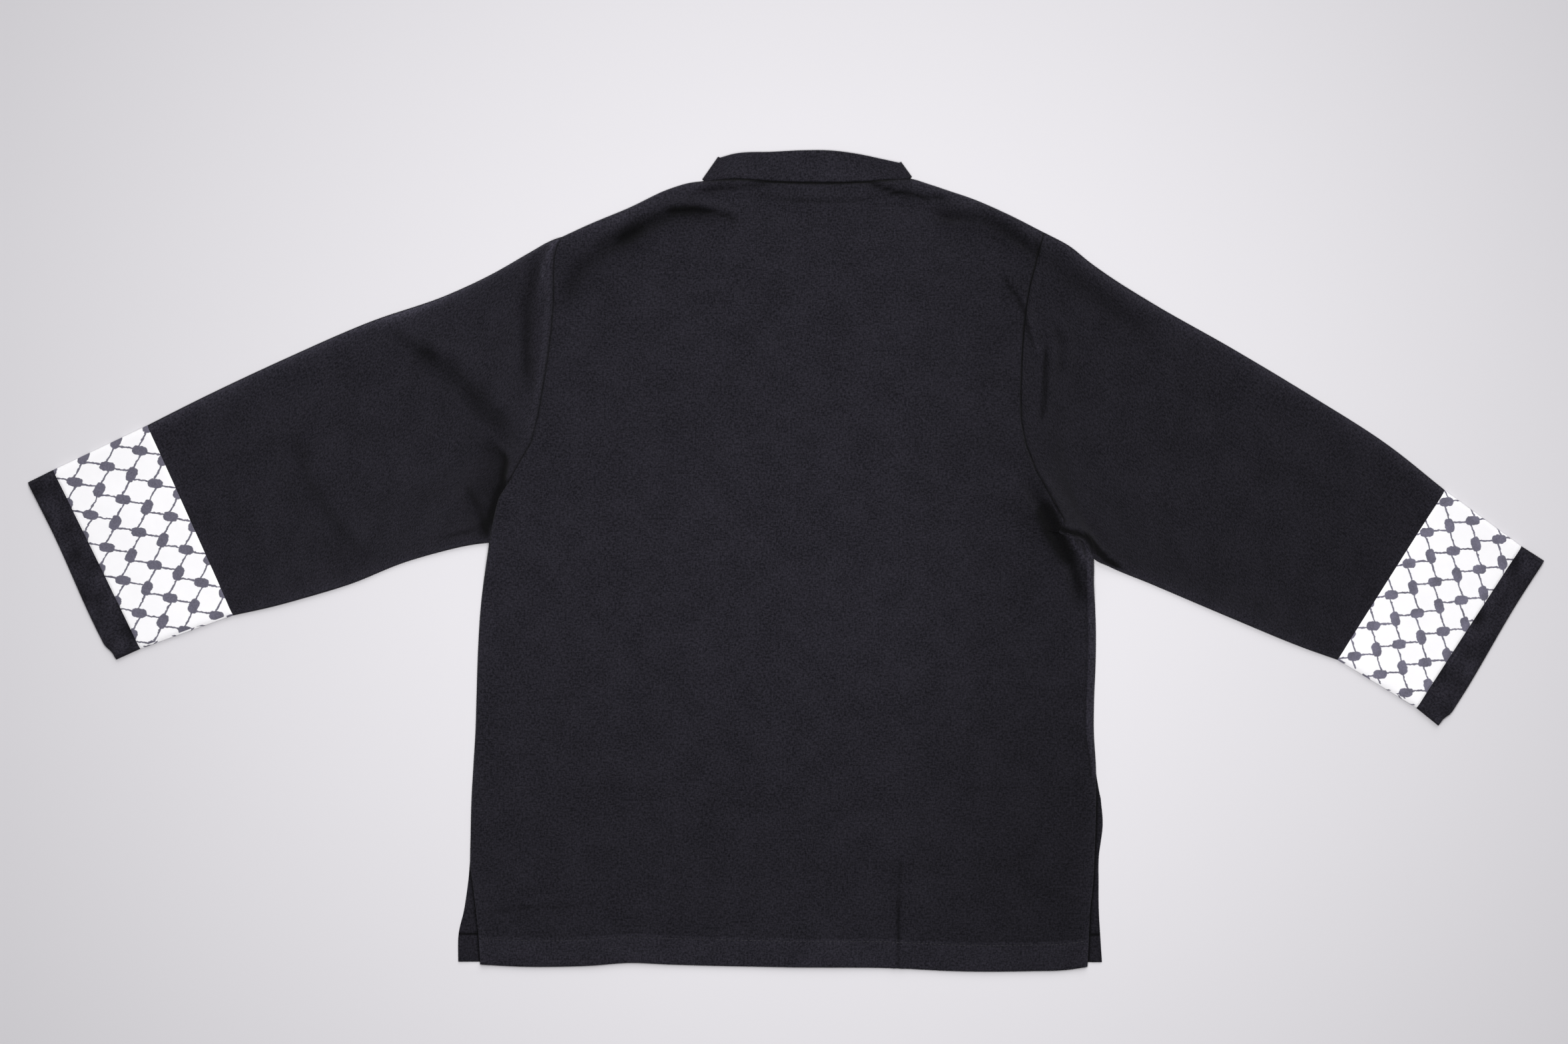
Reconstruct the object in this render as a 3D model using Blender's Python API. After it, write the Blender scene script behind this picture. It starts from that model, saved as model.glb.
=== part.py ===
"""A tang suit jacket lying face down on a flat surface, collar towards +Y.

The two fronts lie on the surface and the back lies on them. Each sleeve, band and
cuff is a flattened tube. The stand collar runs round the neck as one strip, folded
over at both sides. Straight frogs, a loop and a knot each, close the fronts.
X is to the right, Y towards the collar and Z up. Tables and sizes are in millimetres.
"""
import math
from collections import namedtuple

import bpy
import bmesh
import numpy as np

MM = 0.001

# Cloth and seams
CLOTH = 1.2
GAP = 0.3
SEAM = 0.4
UPPER = CLOTH + GAP
COLLAR_CLOTH = 1.8
CUFF_CLOTH = 1.4

# Soft edges
ROLL_HEIGHT = 1.8
ROLL_REACH = 9.0
EDGE_INSET = 2.0

# Centre front and its frogs
NECK_X = 19.6
HEM_X = -2.0
FRONT_HEM_Y = -373.4
FROG_FIRST_Y = 258.0
FROG_STEP = 108.0
FROG_PAIRS = 5
FROG_THICK = 3.4
FROG_LIFT = FROG_THICK + GAP
FROG_BAR_LENGTH = 34.0
FROG_BAR_WIDTH = 8.0
KNOT_RADIUS = 4.2
LOOP_WALL = 2.6

# Neck
NECK_HALF_WIDTH = 94.0
NECK_DEPTH = 78.0
NECK_LEVEL_Y = 352.0
NECK_CORNER = 5.0
NECK_ANGLES = (8.0, 18.0, 28.0, 38.0, 48.0, 58.0, 68.0, 79.0, 90.0)
COLLAR_MEETING_ANGLE = 88.6
COLLAR_HEIGHT = 28.0
NECK_LIFT = 0.9

Row = namedtuple("Row", "left_x left_y right_x right_y")
Flap = namedtuple("Flap", "left_x left_y right_x right_y")
Point = namedtuple("Point", "x y")
Fold = namedtuple("Fold", "piece kind height width path")
Seam = namedtuple("Seam", "base_x base_y top_x top_y")
Lift = namedtuple("Lift", "flat reach below below_reach above above_reach")

# How far from the frogs the cloth stays lifted, and how far it takes to come down
LOWER_LIFT = Lift(48.0, 26.0, 42.0, 50.0, 22.0, 50.0)
UPPER_LIFT = Lift(92.0, 60.0, 76.0, 90.0, 26.0, 64.0)

# Side edges of the back from hem to shoulder, one row for each section
BODY = [
    Row(-284.3, -375.4, 280.2, -377.5),
    Row(-286.0, -349.0, 281.6, -351.0),
    Row(-288.5, -324.6, 282.8, -325.0),
    Row(-291.0, -303.0, 285.6, -300.0),
    Row(-293.7, -283.7, 286.8, -275.0),
    Row(-293.4, -252.0, 287.8, -246.0),
    Row(-292.6, -221.7, 288.3, -218.6),
    Row(-290.8, -190.0, 288.2, -190.0),
    Row(-288.9, -158.0, 286.4, -160.0),
    Row(-288.0, -128.0, 286.6, -129.0),
    Row(-287.1, -97.7, 287.9, -98.0),
    Row(-285.9, -70.0, 288.3, -68.0),
    Row(-284.3, -46.0, 287.6, -43.0),
    Row(-282.2, -26.0, 286.5, -23.0),
    Row(-280.0, -9.5, 286.6, -6.0),
    Row(-278.3, 2.0, 286.2, 6.0),
    Row(-277.4, 8.0, 285.2, 13.5),
    Row(-276.8, 12.8, 277.5, 22.0),
    Row(-276.0, 17.7, 258.2, 27.0),
    Row(-272.0, 39.0, 258.0, 38.0),
    Row(-267.7, 56.9, 250.5, 51.8),
    Row(-258.9, 71.6, 241.5, 67.5),
    Row(-249.5, 88.8, 232.5, 84.5),
    Row(-237.2, 110.0, 223.2, 109.0),
    Row(-230.6, 135.0, 219.0, 131.0),
    Row(-226.6, 159.5, 218.4, 156.0),
    Row(-221.9, 186.5, 219.4, 188.0),
    Row(-218.5, 215.0, 221.0, 214.0),
    Row(-216.2, 240.0, 223.8, 239.0),
    Row(-216.2, 258.0, 227.2, 257.5),
    Row(-216.3, 272.0, 230.9, 272.0),
    Row(-215.4, 283.0, 234.0, 285.0),
    Row(-213.0, 292.6, 236.9, 295.5),
    Row(-208.4, 301.7, 239.8, 305.8),
]
UNDERARM = 18

# Outer edges of the fronts where the side slits leave them showing
FLAPS = [
    Flap(-305.0, -372.9, 293.9, -373.4),
    Flap(-304.6, -347.0, 292.2, -347.0),
    Flap(-299.6, -325.0, 290.9, -322.0),
    Flap(-296.0, -301.0, 290.8, -298.0),
    Flap(-294.4, -283.7, 291.0, -275.0),
    Flap(-292.4, -252.0, 294.6, -246.0),
    Flap(-291.6, -221.7, 292.8, -221.0),
]

# Upper edge of the back: left shoulder, collar seam, right shoulder
SHOULDER_LINE = [
    Point(-208.4, 301.7), Point(-182.9, 313.4), Point(-145.7, 328.9), Point(-108.5, 346.3),
    Point(-89.9, 351.9), Point(-75.6, 353.6), Point(-45.4, 355.4), Point(-12.2, 353.2),
    Point(17.9, 352.2), Point(49.5, 352.2), Point(79.4, 353.4), Point(98.5, 355.2),
    Point(115.1, 355.8), Point(133.3, 350.6), Point(151.9, 344.4), Point(170.5, 338.2),
    Point(207.7, 322.1), Point(239.8, 305.8),
]

# Hem of the back
HEM_LINE = [
    Point(-284.3, -375.4), Point(-260.0, -376.9), Point(-182.9, -376.5), Point(-145.7, -373.9),
    Point(-108.5, -375.4), Point(3.1, -377.9), Point(104.0, -379.0), Point(151.9, -381.4),
    Point(226.3, -381.6), Point(263.5, -380.2), Point(280.2, -377.5),
]

# Sleeve edges after the armhole, ending at the white band
LEFT_SLEEVE_TOP = [
    Point(-220.1, 297.3), Point(-238.7, 286.8), Point(-275.9, 265.7), Point(-313.1, 248.3),
    Point(-387.5, 222.3), Point(-461.9, 190.0), Point(-554.9, 146.0), Point(-593.8, 126.3),
]
LEFT_SLEEVE_BOTTOM = [
    Point(-293.3, 14.8), Point(-326.4, 7.1), Point(-353.6, -0.9), Point(-406.1, -21.8),
    Point(-443.3, -33.2), Point(-480.5, -43.3), Point(-514.0, -50.6),
]
RIGHT_SLEEVE_TOP = [
    Point(263.5, 293.0), Point(282.1, 278.1), Point(300.7, 264.8), Point(337.9, 241.5),
    Point(412.3, 199.3), Point(486.7, 154.7), Point(561.1, 107.0), Point(612.5, 66.0),
]
RIGHT_SLEEVE_BOTTOM = [
    Point(271.0, 26.2), Point(280.6, 23.9), Point(287.8, 16.2), Point(291.2, 4.5),
    Point(300.7, -5.3), Point(337.9, -20.8), Point(412.3, -52.4), Point(486.7, -82.8),
    Point(512.7, -91.9),
]

# Corners of the bands and cuffs: lower and upper end of each seam
LEFT_BAND_OUTER = Seam(-600.4, -81.7, -681.4, 84.8)
LEFT_CUFF_OUTER = Seam(-622.8, -91.8, -705.0, 73.1)
RIGHT_BAND_OUTER = Seam(586.1, -136.7, 683.9, 13.8)
RIGHT_CUFF_OUTER = Seam(606.5, -153.2, 704.9, 0.3)

# Main folds. A valley lies between two banks, a ridge stands alone.
FOLDS = [
    Fold("all", "valley", 2.8, 9.0,
         [(-179, 287), (-151, 302), (-131, 315), (-115, 322), (-90, 327), (-65, 323)]),
    Fold("all", "valley", 2.3, 8.0,
         [(152, 323), (182, 316), (204, 308), (221, 299), (234, 290)]),
    Fold("all", "valley", 1.6, 6.0, [(81, 351), (114, 342), (149, 336)]),
    Fold("all", "valley", 5.6, 14.0,
         [(230, 65), (238, 51), (248, 33), (258, 14), (265, -2), (269, -21), (274, -50)]),
    Fold("sleeve", "valley", 5.0, 13.0,
         [(-322, 184), (-296, 158), (-284, 140), (-266, 119), (-262, 98), (-266, 72)]),
    Fold("body", "ridge", 3.4, 10.0,
         [(-250, 96), (-254, 72), (-262, 50), (-267, 25), (-271, 4), (-275, -20)]),
    Fold("sleeve", "valley", 1.2, 9.0, [(-447, 92), (-432, 60), (-418, 33)]),
    Fold("sleeve", "valley", 1.2, 8.0, [(243, 191), (239, 127)]),
]

# Colours, linear
BLACK = (0.021, 0.020, 0.026, 1.0)
WHITE = (0.82, 0.81, 0.84, 1.0)
CORD = (0.017, 0.017, 0.021, 1.0)


def clear_scene():
    """Remove whatever the scene holds."""
    for item in list(bpy.data.objects):
        bpy.data.objects.remove(item, do_unlink=True)


def material(name, colour, roughness):
    """A plain cloth material."""
    made = bpy.data.materials.new(name)
    made.use_nodes = True
    shader = made.node_tree.nodes["Principled BSDF"]
    shader.inputs["Base Color"].default_value = colour
    shader.inputs["Roughness"].default_value = roughness
    shader.inputs["Metallic"].default_value = 0.0
    made.diffuse_color = colour
    return made


def ease(value):
    """Smooth step from 0 to 1."""
    value = np.clip(value, 0.0, 1.0)
    return value * value * (3.0 - 2.0 * value)


def lengths_along(points):
    """Distance run at each point of a polyline, from 0 to 1."""
    points = np.asarray(points, float)
    steps = np.linalg.norm(np.diff(points, axis=0), axis=1)
    run = np.concatenate([[0.0], np.cumsum(steps)])
    return run / run[-1]


def smooth_curve(points, places):
    """Points at the given places, 0 to 1, on a smooth curve through the table's points."""
    points = np.asarray(points, float)
    run = lengths_along(points)
    slopes = np.gradient(points, run, axis=0)
    places = np.clip(np.asarray(places, float), 0.0, 1.0)
    span = np.clip(np.searchsorted(run, places, side="right") - 1, 0, len(run) - 2)
    width = run[span + 1] - run[span]
    t = ((places - run[span]) / width)[:, None]
    width = width[:, None]
    start = (2 * t ** 3 - 3 * t ** 2 + 1) * points[span] + (t ** 3 - 2 * t ** 2 + t) * width * slopes[span]
    end = (3 * t ** 2 - 2 * t ** 3) * points[span + 1] + (t ** 3 - t ** 2) * width * slopes[span + 1]
    return start + end


def patch(left, right, bottom, top, across, up):
    """Fill four edge curves with a grid, rows going up and columns going across."""
    u = np.asarray(across)[None, :, None]
    v = np.asarray(up)[:, None, None]
    sides = (1 - u) * left[:, None, :] + u * right[:, None, :]
    ends = (1 - v) * bottom[None, :, :] + v * top[None, :, :]
    corners = ((1 - u) * (1 - v) * bottom[0] + u * (1 - v) * bottom[-1]
               + (1 - u) * v * top[0] + u * v * top[-1])
    return sides + ends - corners


def distance_to_path(x, y, path):
    """Distance from each place to a polyline, and how far along it is, 0 to 1."""
    path = np.asarray(path, float)
    run = lengths_along(path)
    best = np.full(np.shape(x), 1e9)
    along = np.zeros(np.shape(x))
    for index in range(len(path) - 1):
        step = path[index + 1] - path[index]
        share = ((x - path[index, 0]) * step[0] + (y - path[index, 1]) * step[1]) / (step @ step)
        share = np.clip(share, 0.0, 1.0)
        away = np.hypot(x - path[index, 0] - share * step[0], y - path[index, 1] - share * step[1])
        nearer = away < best
        best = np.where(nearer, away, best)
        along = np.where(nearer, run[index] + share * (run[index + 1] - run[index]), along)
    return best, along


def centre_front(y):
    """The line where the two fronts meet."""
    return HEM_X + (NECK_X - HEM_X) * (y - FRONT_HEM_Y) / (NECK_LEVEL_Y - NECK_DEPTH - FRONT_HEM_Y)


def frog_lift(x, y, lift):
    """How far the frogs hold the cloth off the surface: full beside them, easing off around."""
    lowest_frog = FROG_FIRST_Y - FROG_STEP * (FROG_PAIRS - 1)
    side = 1.0 - ease((np.abs(x - centre_front(y)) - lift.flat) / lift.reach)
    below = 1.0 - ease((lowest_frog - lift.below - y) / lift.below_reach)
    above = 1.0 - ease((y - FROG_FIRST_Y - lift.above) / lift.above_reach)
    return FROG_LIFT * side * below * above


def lower_lift(x, y):
    """Height of the lower layer's underside."""
    return frog_lift(x, y, LOWER_LIFT)


def upper_lift(x, y, piece):
    """Height of the upper layer above where it would lie flat, from its folds and frogs."""
    neck_away = np.hypot((x - NECK_X) / (NECK_HALF_WIDTH + 14.0), (y - NECK_LEVEL_Y) / (NECK_DEPTH + 14.0))
    lift = NECK_LIFT * (1.0 - ease((neck_away - 1.0) / 0.5)) + frog_lift(x, y, UPPER_LIFT)
    lift = lift + np.zeros(np.shape(x))
    for fold in FOLDS:
        if fold.piece not in ("all", piece):
            continue
        away, along = distance_to_path(x, y, fold.path)
        ratio = (away / fold.width) ** 2
        fade = ease(along / 0.18 + 0.25) * ease((1.0 - along) / 0.22 + 0.2)
        if fold.kind == "ridge":
            lift = lift + fold.height * fade * np.exp(-ratio)
        else:
            lift = lift + fold.height * fade * ratio * np.exp(1.0 - ratio)
    return lift


def roll(distance):
    """Soft rise of the upper layer just inside a turned edge."""
    share = np.maximum(distance, 0.0) / ROLL_REACH
    return ROLL_HEIGHT * share * np.exp(1.0 - share)


def shell(name, outer, inner, finish, wrapped=False):
    """One closed solid from an outer and an inner grid of points."""
    rows, columns = outer.shape[:2]
    mesh = bmesh.new()
    sheets = [[[mesh.verts.new(tuple(sheet[i, j] * MM)) for j in range(columns)]
               for i in range(rows)] for sheet in (outer, inner)]
    spans = columns if wrapped else columns - 1
    for i in range(rows - 1):
        for j in range(spans):
            k = (j + 1) % columns
            for sheet in sheets:
                mesh.faces.new((sheet[i][j], sheet[i][k], sheet[i + 1][k], sheet[i + 1][j]))
    for i in (0, rows - 1):
        for j in range(spans):
            k = (j + 1) % columns
            mesh.faces.new((sheets[0][i][j], sheets[0][i][k], sheets[1][i][k], sheets[1][i][j]))
    if not wrapped:
        for j in (0, columns - 1):
            for i in range(rows - 1):
                mesh.faces.new((sheets[0][i][j], sheets[0][i + 1][j], sheets[1][i + 1][j], sheets[1][i][j]))
    bmesh.ops.recalc_face_normals(mesh, faces=mesh.faces)
    return place(name, mesh, finish)


def place(name, mesh, finish):
    """Put a finished mesh in the scene as a named object."""
    data = bpy.data.meshes.new(name)
    mesh.to_mesh(data)
    mesh.free()
    data.materials.append(finish)
    data.shade_smooth()
    data.set_sharp_from_angle(angle=math.radians(40))
    made = bpy.data.objects.new(name, data)
    bpy.context.scene.collection.objects.link(made)
    return made


def with_height(flat, height):
    """Give a flat grid its heights."""
    return np.concatenate([flat, np.broadcast_to(height, flat.shape[:2])[..., None]], axis=2)


def body_edge(side):
    """The back's edge vertices on one side, hem to shoulder."""
    return np.array([(getattr(row, side + "_x"), getattr(row, side + "_y")) for row in BODY])


def make_back(finish):
    """The back, lying on the fronts, with its edges rolled down onto them."""
    across = np.array([0.0, 0.012, 0.03, 0.055, 0.09, 0.135, 0.18, 0.225, 0.27, 0.32, 0.375, 0.43, 0.5, 0.57,
                       0.63, 0.69, 0.745, 0.79, 0.83, 0.87, 0.905, 0.935, 0.958, 0.976, 0.99, 1.0])
    left, right = body_edge("left"), body_edge("right")
    up = (lengths_along(left) + lengths_along(right)) / 2.0
    bottom = smooth_curve(HEM_LINE, across)
    top = smooth_curve(SHOULDER_LINE, across)
    flat = patch(left, right, bottom, top, across, up)
    width = np.linalg.norm(right - left, axis=1)[:, None]
    sides = (np.arange(len(BODY)) < UNDERARM)[:, None]
    lift = upper_lift(flat[..., 0], flat[..., 1], "body")
    lift = lift + sides * (roll(width * across) + roll(width * (1.0 - across)))
    below_shoulder = np.linalg.norm(flat - flat[-1:], axis=2)
    lift = lift + roll(below_shoulder) * (np.abs(flat[..., 0] - NECK_X) > NECK_HALF_WIDTH)
    low = UPPER + lift
    return shell("back", with_height(flat, low + CLOTH), with_height(flat, low), finish)


def front_edge(side):
    """A front's outer edge: the flap at the slit, then just inside the back's edge."""
    edge = body_edge(side)
    outward = -1.0 if side == "left" else 1.0
    for index, flap in enumerate(FLAPS):
        edge[index] = (getattr(flap, side + "_x"), getattr(flap, side + "_y"))
    edge[len(FLAPS):UNDERARM, 0] -= outward * 1.0
    return edge


def neck_curve(angle, inset=0.0):
    """A point on the front neckline, or inside it by the inset."""
    return (NECK_X + (NECK_HALF_WIDTH - inset) * math.cos(angle),
            NECK_LEVEL_Y - (NECK_DEPTH - inset) * math.sin(angle))


def make_front(side, finish):
    """A front panel, flat on the surface but for where the frogs hold it up."""
    outer = front_edge(side)
    left_side = side == "left"
    up = lengths_along(outer)
    meet = centre_front(FRONT_HEM_Y), centre_front(NECK_LEVEL_Y - NECK_DEPTH)
    half_gap = -GAP / 2 if left_side else GAP / 2
    centre = np.stack([meet[0] + (meet[1] - meet[0]) * up + half_gap,
                       FRONT_HEM_Y + (NECK_LEVEL_Y - NECK_DEPTH - FRONT_HEM_Y) * up], axis=1)
    corner_x = NECK_X + (-1 if left_side else 1) * (NECK_HALF_WIDTH + NECK_CORNER)
    line = np.array([tuple(point) for point in SHOULDER_LINE])
    shoulder_x = np.linspace(outer[-1, 0], corner_x, 5)
    shoulder = [(x, float(np.interp(x, line[:, 0], line[:, 1]))) for x in shoulder_x]
    neck = [neck_curve(math.radians(180.0 - angle if left_side else angle)) for angle in NECK_ANGLES]
    top = np.array(shoulder + neck[:-1] + [tuple(centre[-1])])
    top[0] = outer[-1]
    across = lengths_along(top)
    bottom = outer[0] + (centre[0] - outer[0]) * across[:, None]
    flat = patch(outer, centre, bottom, top, across, up)
    low = lower_lift(flat[..., 0], flat[..., 1])
    return shell("front_" + side, with_height(flat, low + CLOTH), with_height(flat, low), finish)


def tube_rings(flat, high, wall, width):
    """Outer and inner rings of a flattened tube from its grid, columns from lower to upper edge."""
    inset = EDGE_INSET / width
    thin = wall / width
    middle = high[:, :1] / 2.0

    def slide(edge, nearest, share):
        return edge + (nearest - edge) * share[:, None]

    def lift(points, height):
        return np.concatenate([points, np.broadcast_to(height, (len(points), 1))], axis=1)

    first_step = np.linalg.norm(flat[:, 1] - flat[:, 0], axis=1) / width
    last_step = np.linalg.norm(flat[:, -1] - flat[:, -2], axis=1) / width
    rings = []
    for side in (0, 1):
        share = inset + side * thin * 0.7
        low_near = slide(flat[:, 0], flat[:, 1], share / first_step)
        high_near = slide(flat[:, -1], flat[:, -2], share / last_step)
        low_edge = slide(flat[:, 0], flat[:, 1], side * thin / first_step)
        high_edge = slide(flat[:, -1], flat[:, -2], side * thin / last_step)
        up = -wall * side
        down = wall * side
        columns = [lift(low_edge, middle), lift(low_near, high[:, :1] + up)]
        columns += [lift(flat[:, j], high[:, j:j + 1] + up) for j in range(1, flat.shape[1] - 1)]
        columns += [lift(high_near, high[:, -1:] + up), lift(high_edge, middle), lift(high_near, down)]
        columns += [lift(flat[:, j], down) for j in range(flat.shape[1] - 2, 0, -1)]
        columns += [lift(low_near, down)]
        rings.append(np.stack(columns, axis=1))
    return rings


def sleeve_grid(side):
    """A sleeve's flat grid: rows from armhole to band, columns from underarm to shoulder."""
    outward = -1.0 if side == "left" else 1.0
    armhole = body_edge(side)[UNDERARM:].copy()
    armhole[:, 0] += outward * SEAM
    top_table, bottom_table = ((LEFT_SLEEVE_TOP, LEFT_SLEEVE_BOTTOM) if side == "left"
                               else (RIGHT_SLEEVE_TOP, RIGHT_SLEEVE_BOTTOM))
    along = np.array([0.0, 0.012, 0.03, 0.05, 0.075, 0.1, 0.13, 0.165, 0.205, 0.25, 0.31, 0.38, 0.47, 0.57,
                      0.68, 0.79, 0.9, 1.0])
    upper = smooth_curve([tuple(armhole[-1])] + [tuple(point) for point in top_table], along)
    lower = smooth_curve([tuple(armhole[0])] + [tuple(point) for point in bottom_table], along)
    across = lengths_along(armhole)
    band = lower[-1] + (upper[-1] - lower[-1]) * across[:, None]
    return patch(lower, upper, armhole, band, across, along), across


def make_sleeve(side, finish):
    """A sleeve from armhole to band, one tube lying flat."""
    flat, across = sleeve_grid(side)
    width = np.linalg.norm(flat[:, -1] - flat[:, 0], axis=1)
    lift = upper_lift(flat[..., 0], flat[..., 1], "sleeve")
    lift = lift + roll(width[:, None] * across) + roll(width[:, None] * (1.0 - across))
    outer, inner = tube_rings(flat, UPPER + CLOTH + lift, CLOTH, width)
    return shell("sleeve_" + side, outer, inner, finish, wrapped=True)


def seam_ends(flat):
    """Lower and upper end of a sleeve's last row."""
    return flat[-1, 0], flat[-1, -1]


def make_ring(name, start, end, wall, finish, rows):
    """A straight flattened tube between two seams, each a pair of lower and upper ends."""
    across = np.array([0.0, 0.05, 0.12, 0.25, 0.4, 0.6, 0.75, 0.88, 0.95, 1.0])
    direction = np.mean(end, axis=0) - np.mean(start, axis=0)
    direction /= np.linalg.norm(direction)
    first = [np.asarray(point) + direction * GAP for point in start]
    along = np.linspace(0.0, 1.0, rows)
    lower = first[0] + (np.asarray(end[0]) - first[0]) * along[:, None]
    upper = first[1] + (np.asarray(end[1]) - first[1]) * along[:, None]
    flat = lower[:, None] + (upper - lower)[:, None] * across[None, :, None]
    width = np.linalg.norm(upper - lower, axis=1)
    lift = 0.5 * (roll(width[:, None] * across) + roll(width[:, None] * (1.0 - across)))
    outer, inner = tube_rings(flat, 2 * wall + GAP + lift, wall, width)
    return shell(name, outer, inner, finish, wrapped=True)


def collar_stations():
    """Base, top and outward direction of the collar's cloth, from one front end to the other."""
    lower_mid = COLLAR_CLOTH / 2.0
    upper_mid = 3.0 * COLLAR_CLOTH / 2.0 + GAP
    fold_radius = (upper_mid - lower_mid) / 2.0
    left_fold = Seam(-76.4, 353.9, -61.6, 375.0)
    right_fold = Seam(115.6, 356.2, 105.4, 370.3)
    back_base = [Point(-76.4, 353.9), Point(-45.4, 355.9), Point(-12.2, 353.7), Point(17.9, 352.7),
                 Point(49.5, 352.7), Point(79.4, 353.9), Point(98.5, 355.7), Point(115.6, 356.2)]
    back_top = [Point(-61.6, 375.0), Point(-50.2, 378.3), Point(-12.0, 380.6), Point(17.9, 382.0),
                Point(40.0, 381.8), Point(67.0, 378.5), Point(89.0, 373.9), Point(105.4, 370.3)]

    def front_half(sign, fold):
        stations = []
        for angle in np.radians(NECK_ANGLES[:-1] + (COLLAR_MEETING_ANGLE,)):
            turned = math.pi - angle if sign < 0 else angle
            base = neck_curve(turned, SEAM)
            top = neck_curve(turned, SEAM + COLLAR_HEIGHT)
            blend = float(ease((math.degrees(angle) - 8.0) / 40.0))
            lean = (fold.top_x - fold.base_x, fold.top_y - fold.base_y)
            top = (base[0] + lean[0] * (1 - blend) + (top[0] - base[0]) * blend,
                   base[1] + lean[1] * (1 - blend) + (top[1] - base[1]) * blend)
            stations.append((base, top))
        return stations

    stations = []
    for base, top in reversed(front_half(-1, left_fold)):
        stations.append((base, top, lower_mid, (0.0, -1.0), -1))
    for turn in np.radians([-90, -45, 0, 45]):
        stations.append(((left_fold.base_x, left_fold.base_y), (left_fold.top_x, left_fold.top_y),
                         lower_mid + fold_radius * (1 + math.sin(turn)),
                         (math.cos(turn), math.sin(turn)), -1))
    places = np.linspace(0, 1, 15)
    for base, top in zip(smooth_curve(back_base, places), smooth_curve(back_top, places)):
        stations.append((tuple(base), tuple(top), upper_mid, (0.0, 1.0), 0))
    for turn in np.radians([45, 0, -45, -90]):
        stations.append(((right_fold.base_x, right_fold.base_y), (right_fold.top_x, right_fold.top_y),
                         lower_mid + fold_radius * (1 + math.sin(turn)),
                         (math.cos(turn), math.sin(turn)), 1))
    for base, top in front_half(1, right_fold):
        stations.append((base, top, lower_mid, (0.0, -1.0), 1))
    return stations, fold_radius


def make_collar(finish):
    """The stand collar: one strip round the neck, folded over at both sides."""
    stations, fold_radius = collar_stations()
    outer, inner = [], []
    for base, top, height, (aside, upward), sign in stations:
        line = np.array(top) - np.array(base)
        outward = np.array([line[1], -line[0]]) / np.linalg.norm(line)
        if sign < 0:
            outward = -outward
        shift = outward * aside * fold_radius
        for store, half in ((outer, COLLAR_CLOTH / 2.0), (inner, -COLLAR_CLOTH / 2.0)):
            row = []
            for share in (0.0, 0.33, 0.67, 1.0):
                flat = np.array(base) + line * share + shift + outward * aside * half
                rise = 0.0
                if upward < -0.5:
                    rise = float(lower_lift(flat[0], flat[1]))
                row.append((flat[0], flat[1], height + upward * half + rise))
            store.append(row)
    return shell("collar", np.array(outer), np.array(inner), finish)


def bar_outline(start, end, half_width, steps=4):
    """A bar's outline with a round far end, from its root at start to its tip at end."""
    sign = 1.0 if end > start else -1.0
    points = [(start, -half_width), (end - sign * half_width, -half_width)]
    for angle in np.linspace(-90, 90, 2 * steps + 1)[1:-1]:
        turn = math.radians(angle)
        points.append((end - sign * half_width + sign * half_width * math.cos(turn), half_width * math.sin(turn)))
    points += [(end - sign * half_width, half_width), (start, half_width)]
    return points


def extrude_outline(name, outline, centre, tilt, low, high, finish):
    """A flat plate of the given outline, turned to lie square to the centre front."""
    mesh = bmesh.new()
    cosine, sine = math.cos(tilt), math.sin(tilt)

    def at(point, height):
        x = centre[0] + point[0] * cosine - point[1] * sine
        y = centre[1] + point[0] * sine + point[1] * cosine
        return mesh.verts.new((x * MM, y * MM, height * MM))

    floor = [at(point, low) for point in outline]
    roof = [at(point, high) for point in outline]
    mesh.faces.new(floor)
    mesh.faces.new(roof)
    count = len(outline)
    for index in range(count):
        following = (index + 1) % count
        mesh.faces.new((floor[index], floor[following], roof[following], roof[index]))
    bmesh.ops.recalc_face_normals(mesh, faces=mesh.faces)
    return place(name, mesh, finish)


def loop_outline(inner, outer, root, half_width, steps=14):
    """A bar that ends in an open eye round the knot, drawn as one outline with a slit below."""
    points = [(root, half_width), (root, -half_width)]
    start = math.asin(half_width / outer)
    arc = np.linspace(math.pi + start, 3 * math.pi - start, steps)
    cut = len(arc) // 2
    for angle in arc[:cut]:
        points.append((outer * math.cos(angle), outer * math.sin(angle)))
    slit = 2 * math.pi
    points.append((outer * math.cos(slit - 0.05), outer * math.sin(slit - 0.05)))
    for angle in np.linspace(slit - 0.08, 0.08, steps):
        points.append((inner * math.cos(angle), inner * math.sin(angle)))
    points.append((outer * math.cos(0.05), outer * math.sin(0.05)))
    for angle in arc[cut:]:
        points.append((outer * math.cos(angle), outer * math.sin(angle)))
    return points


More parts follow.
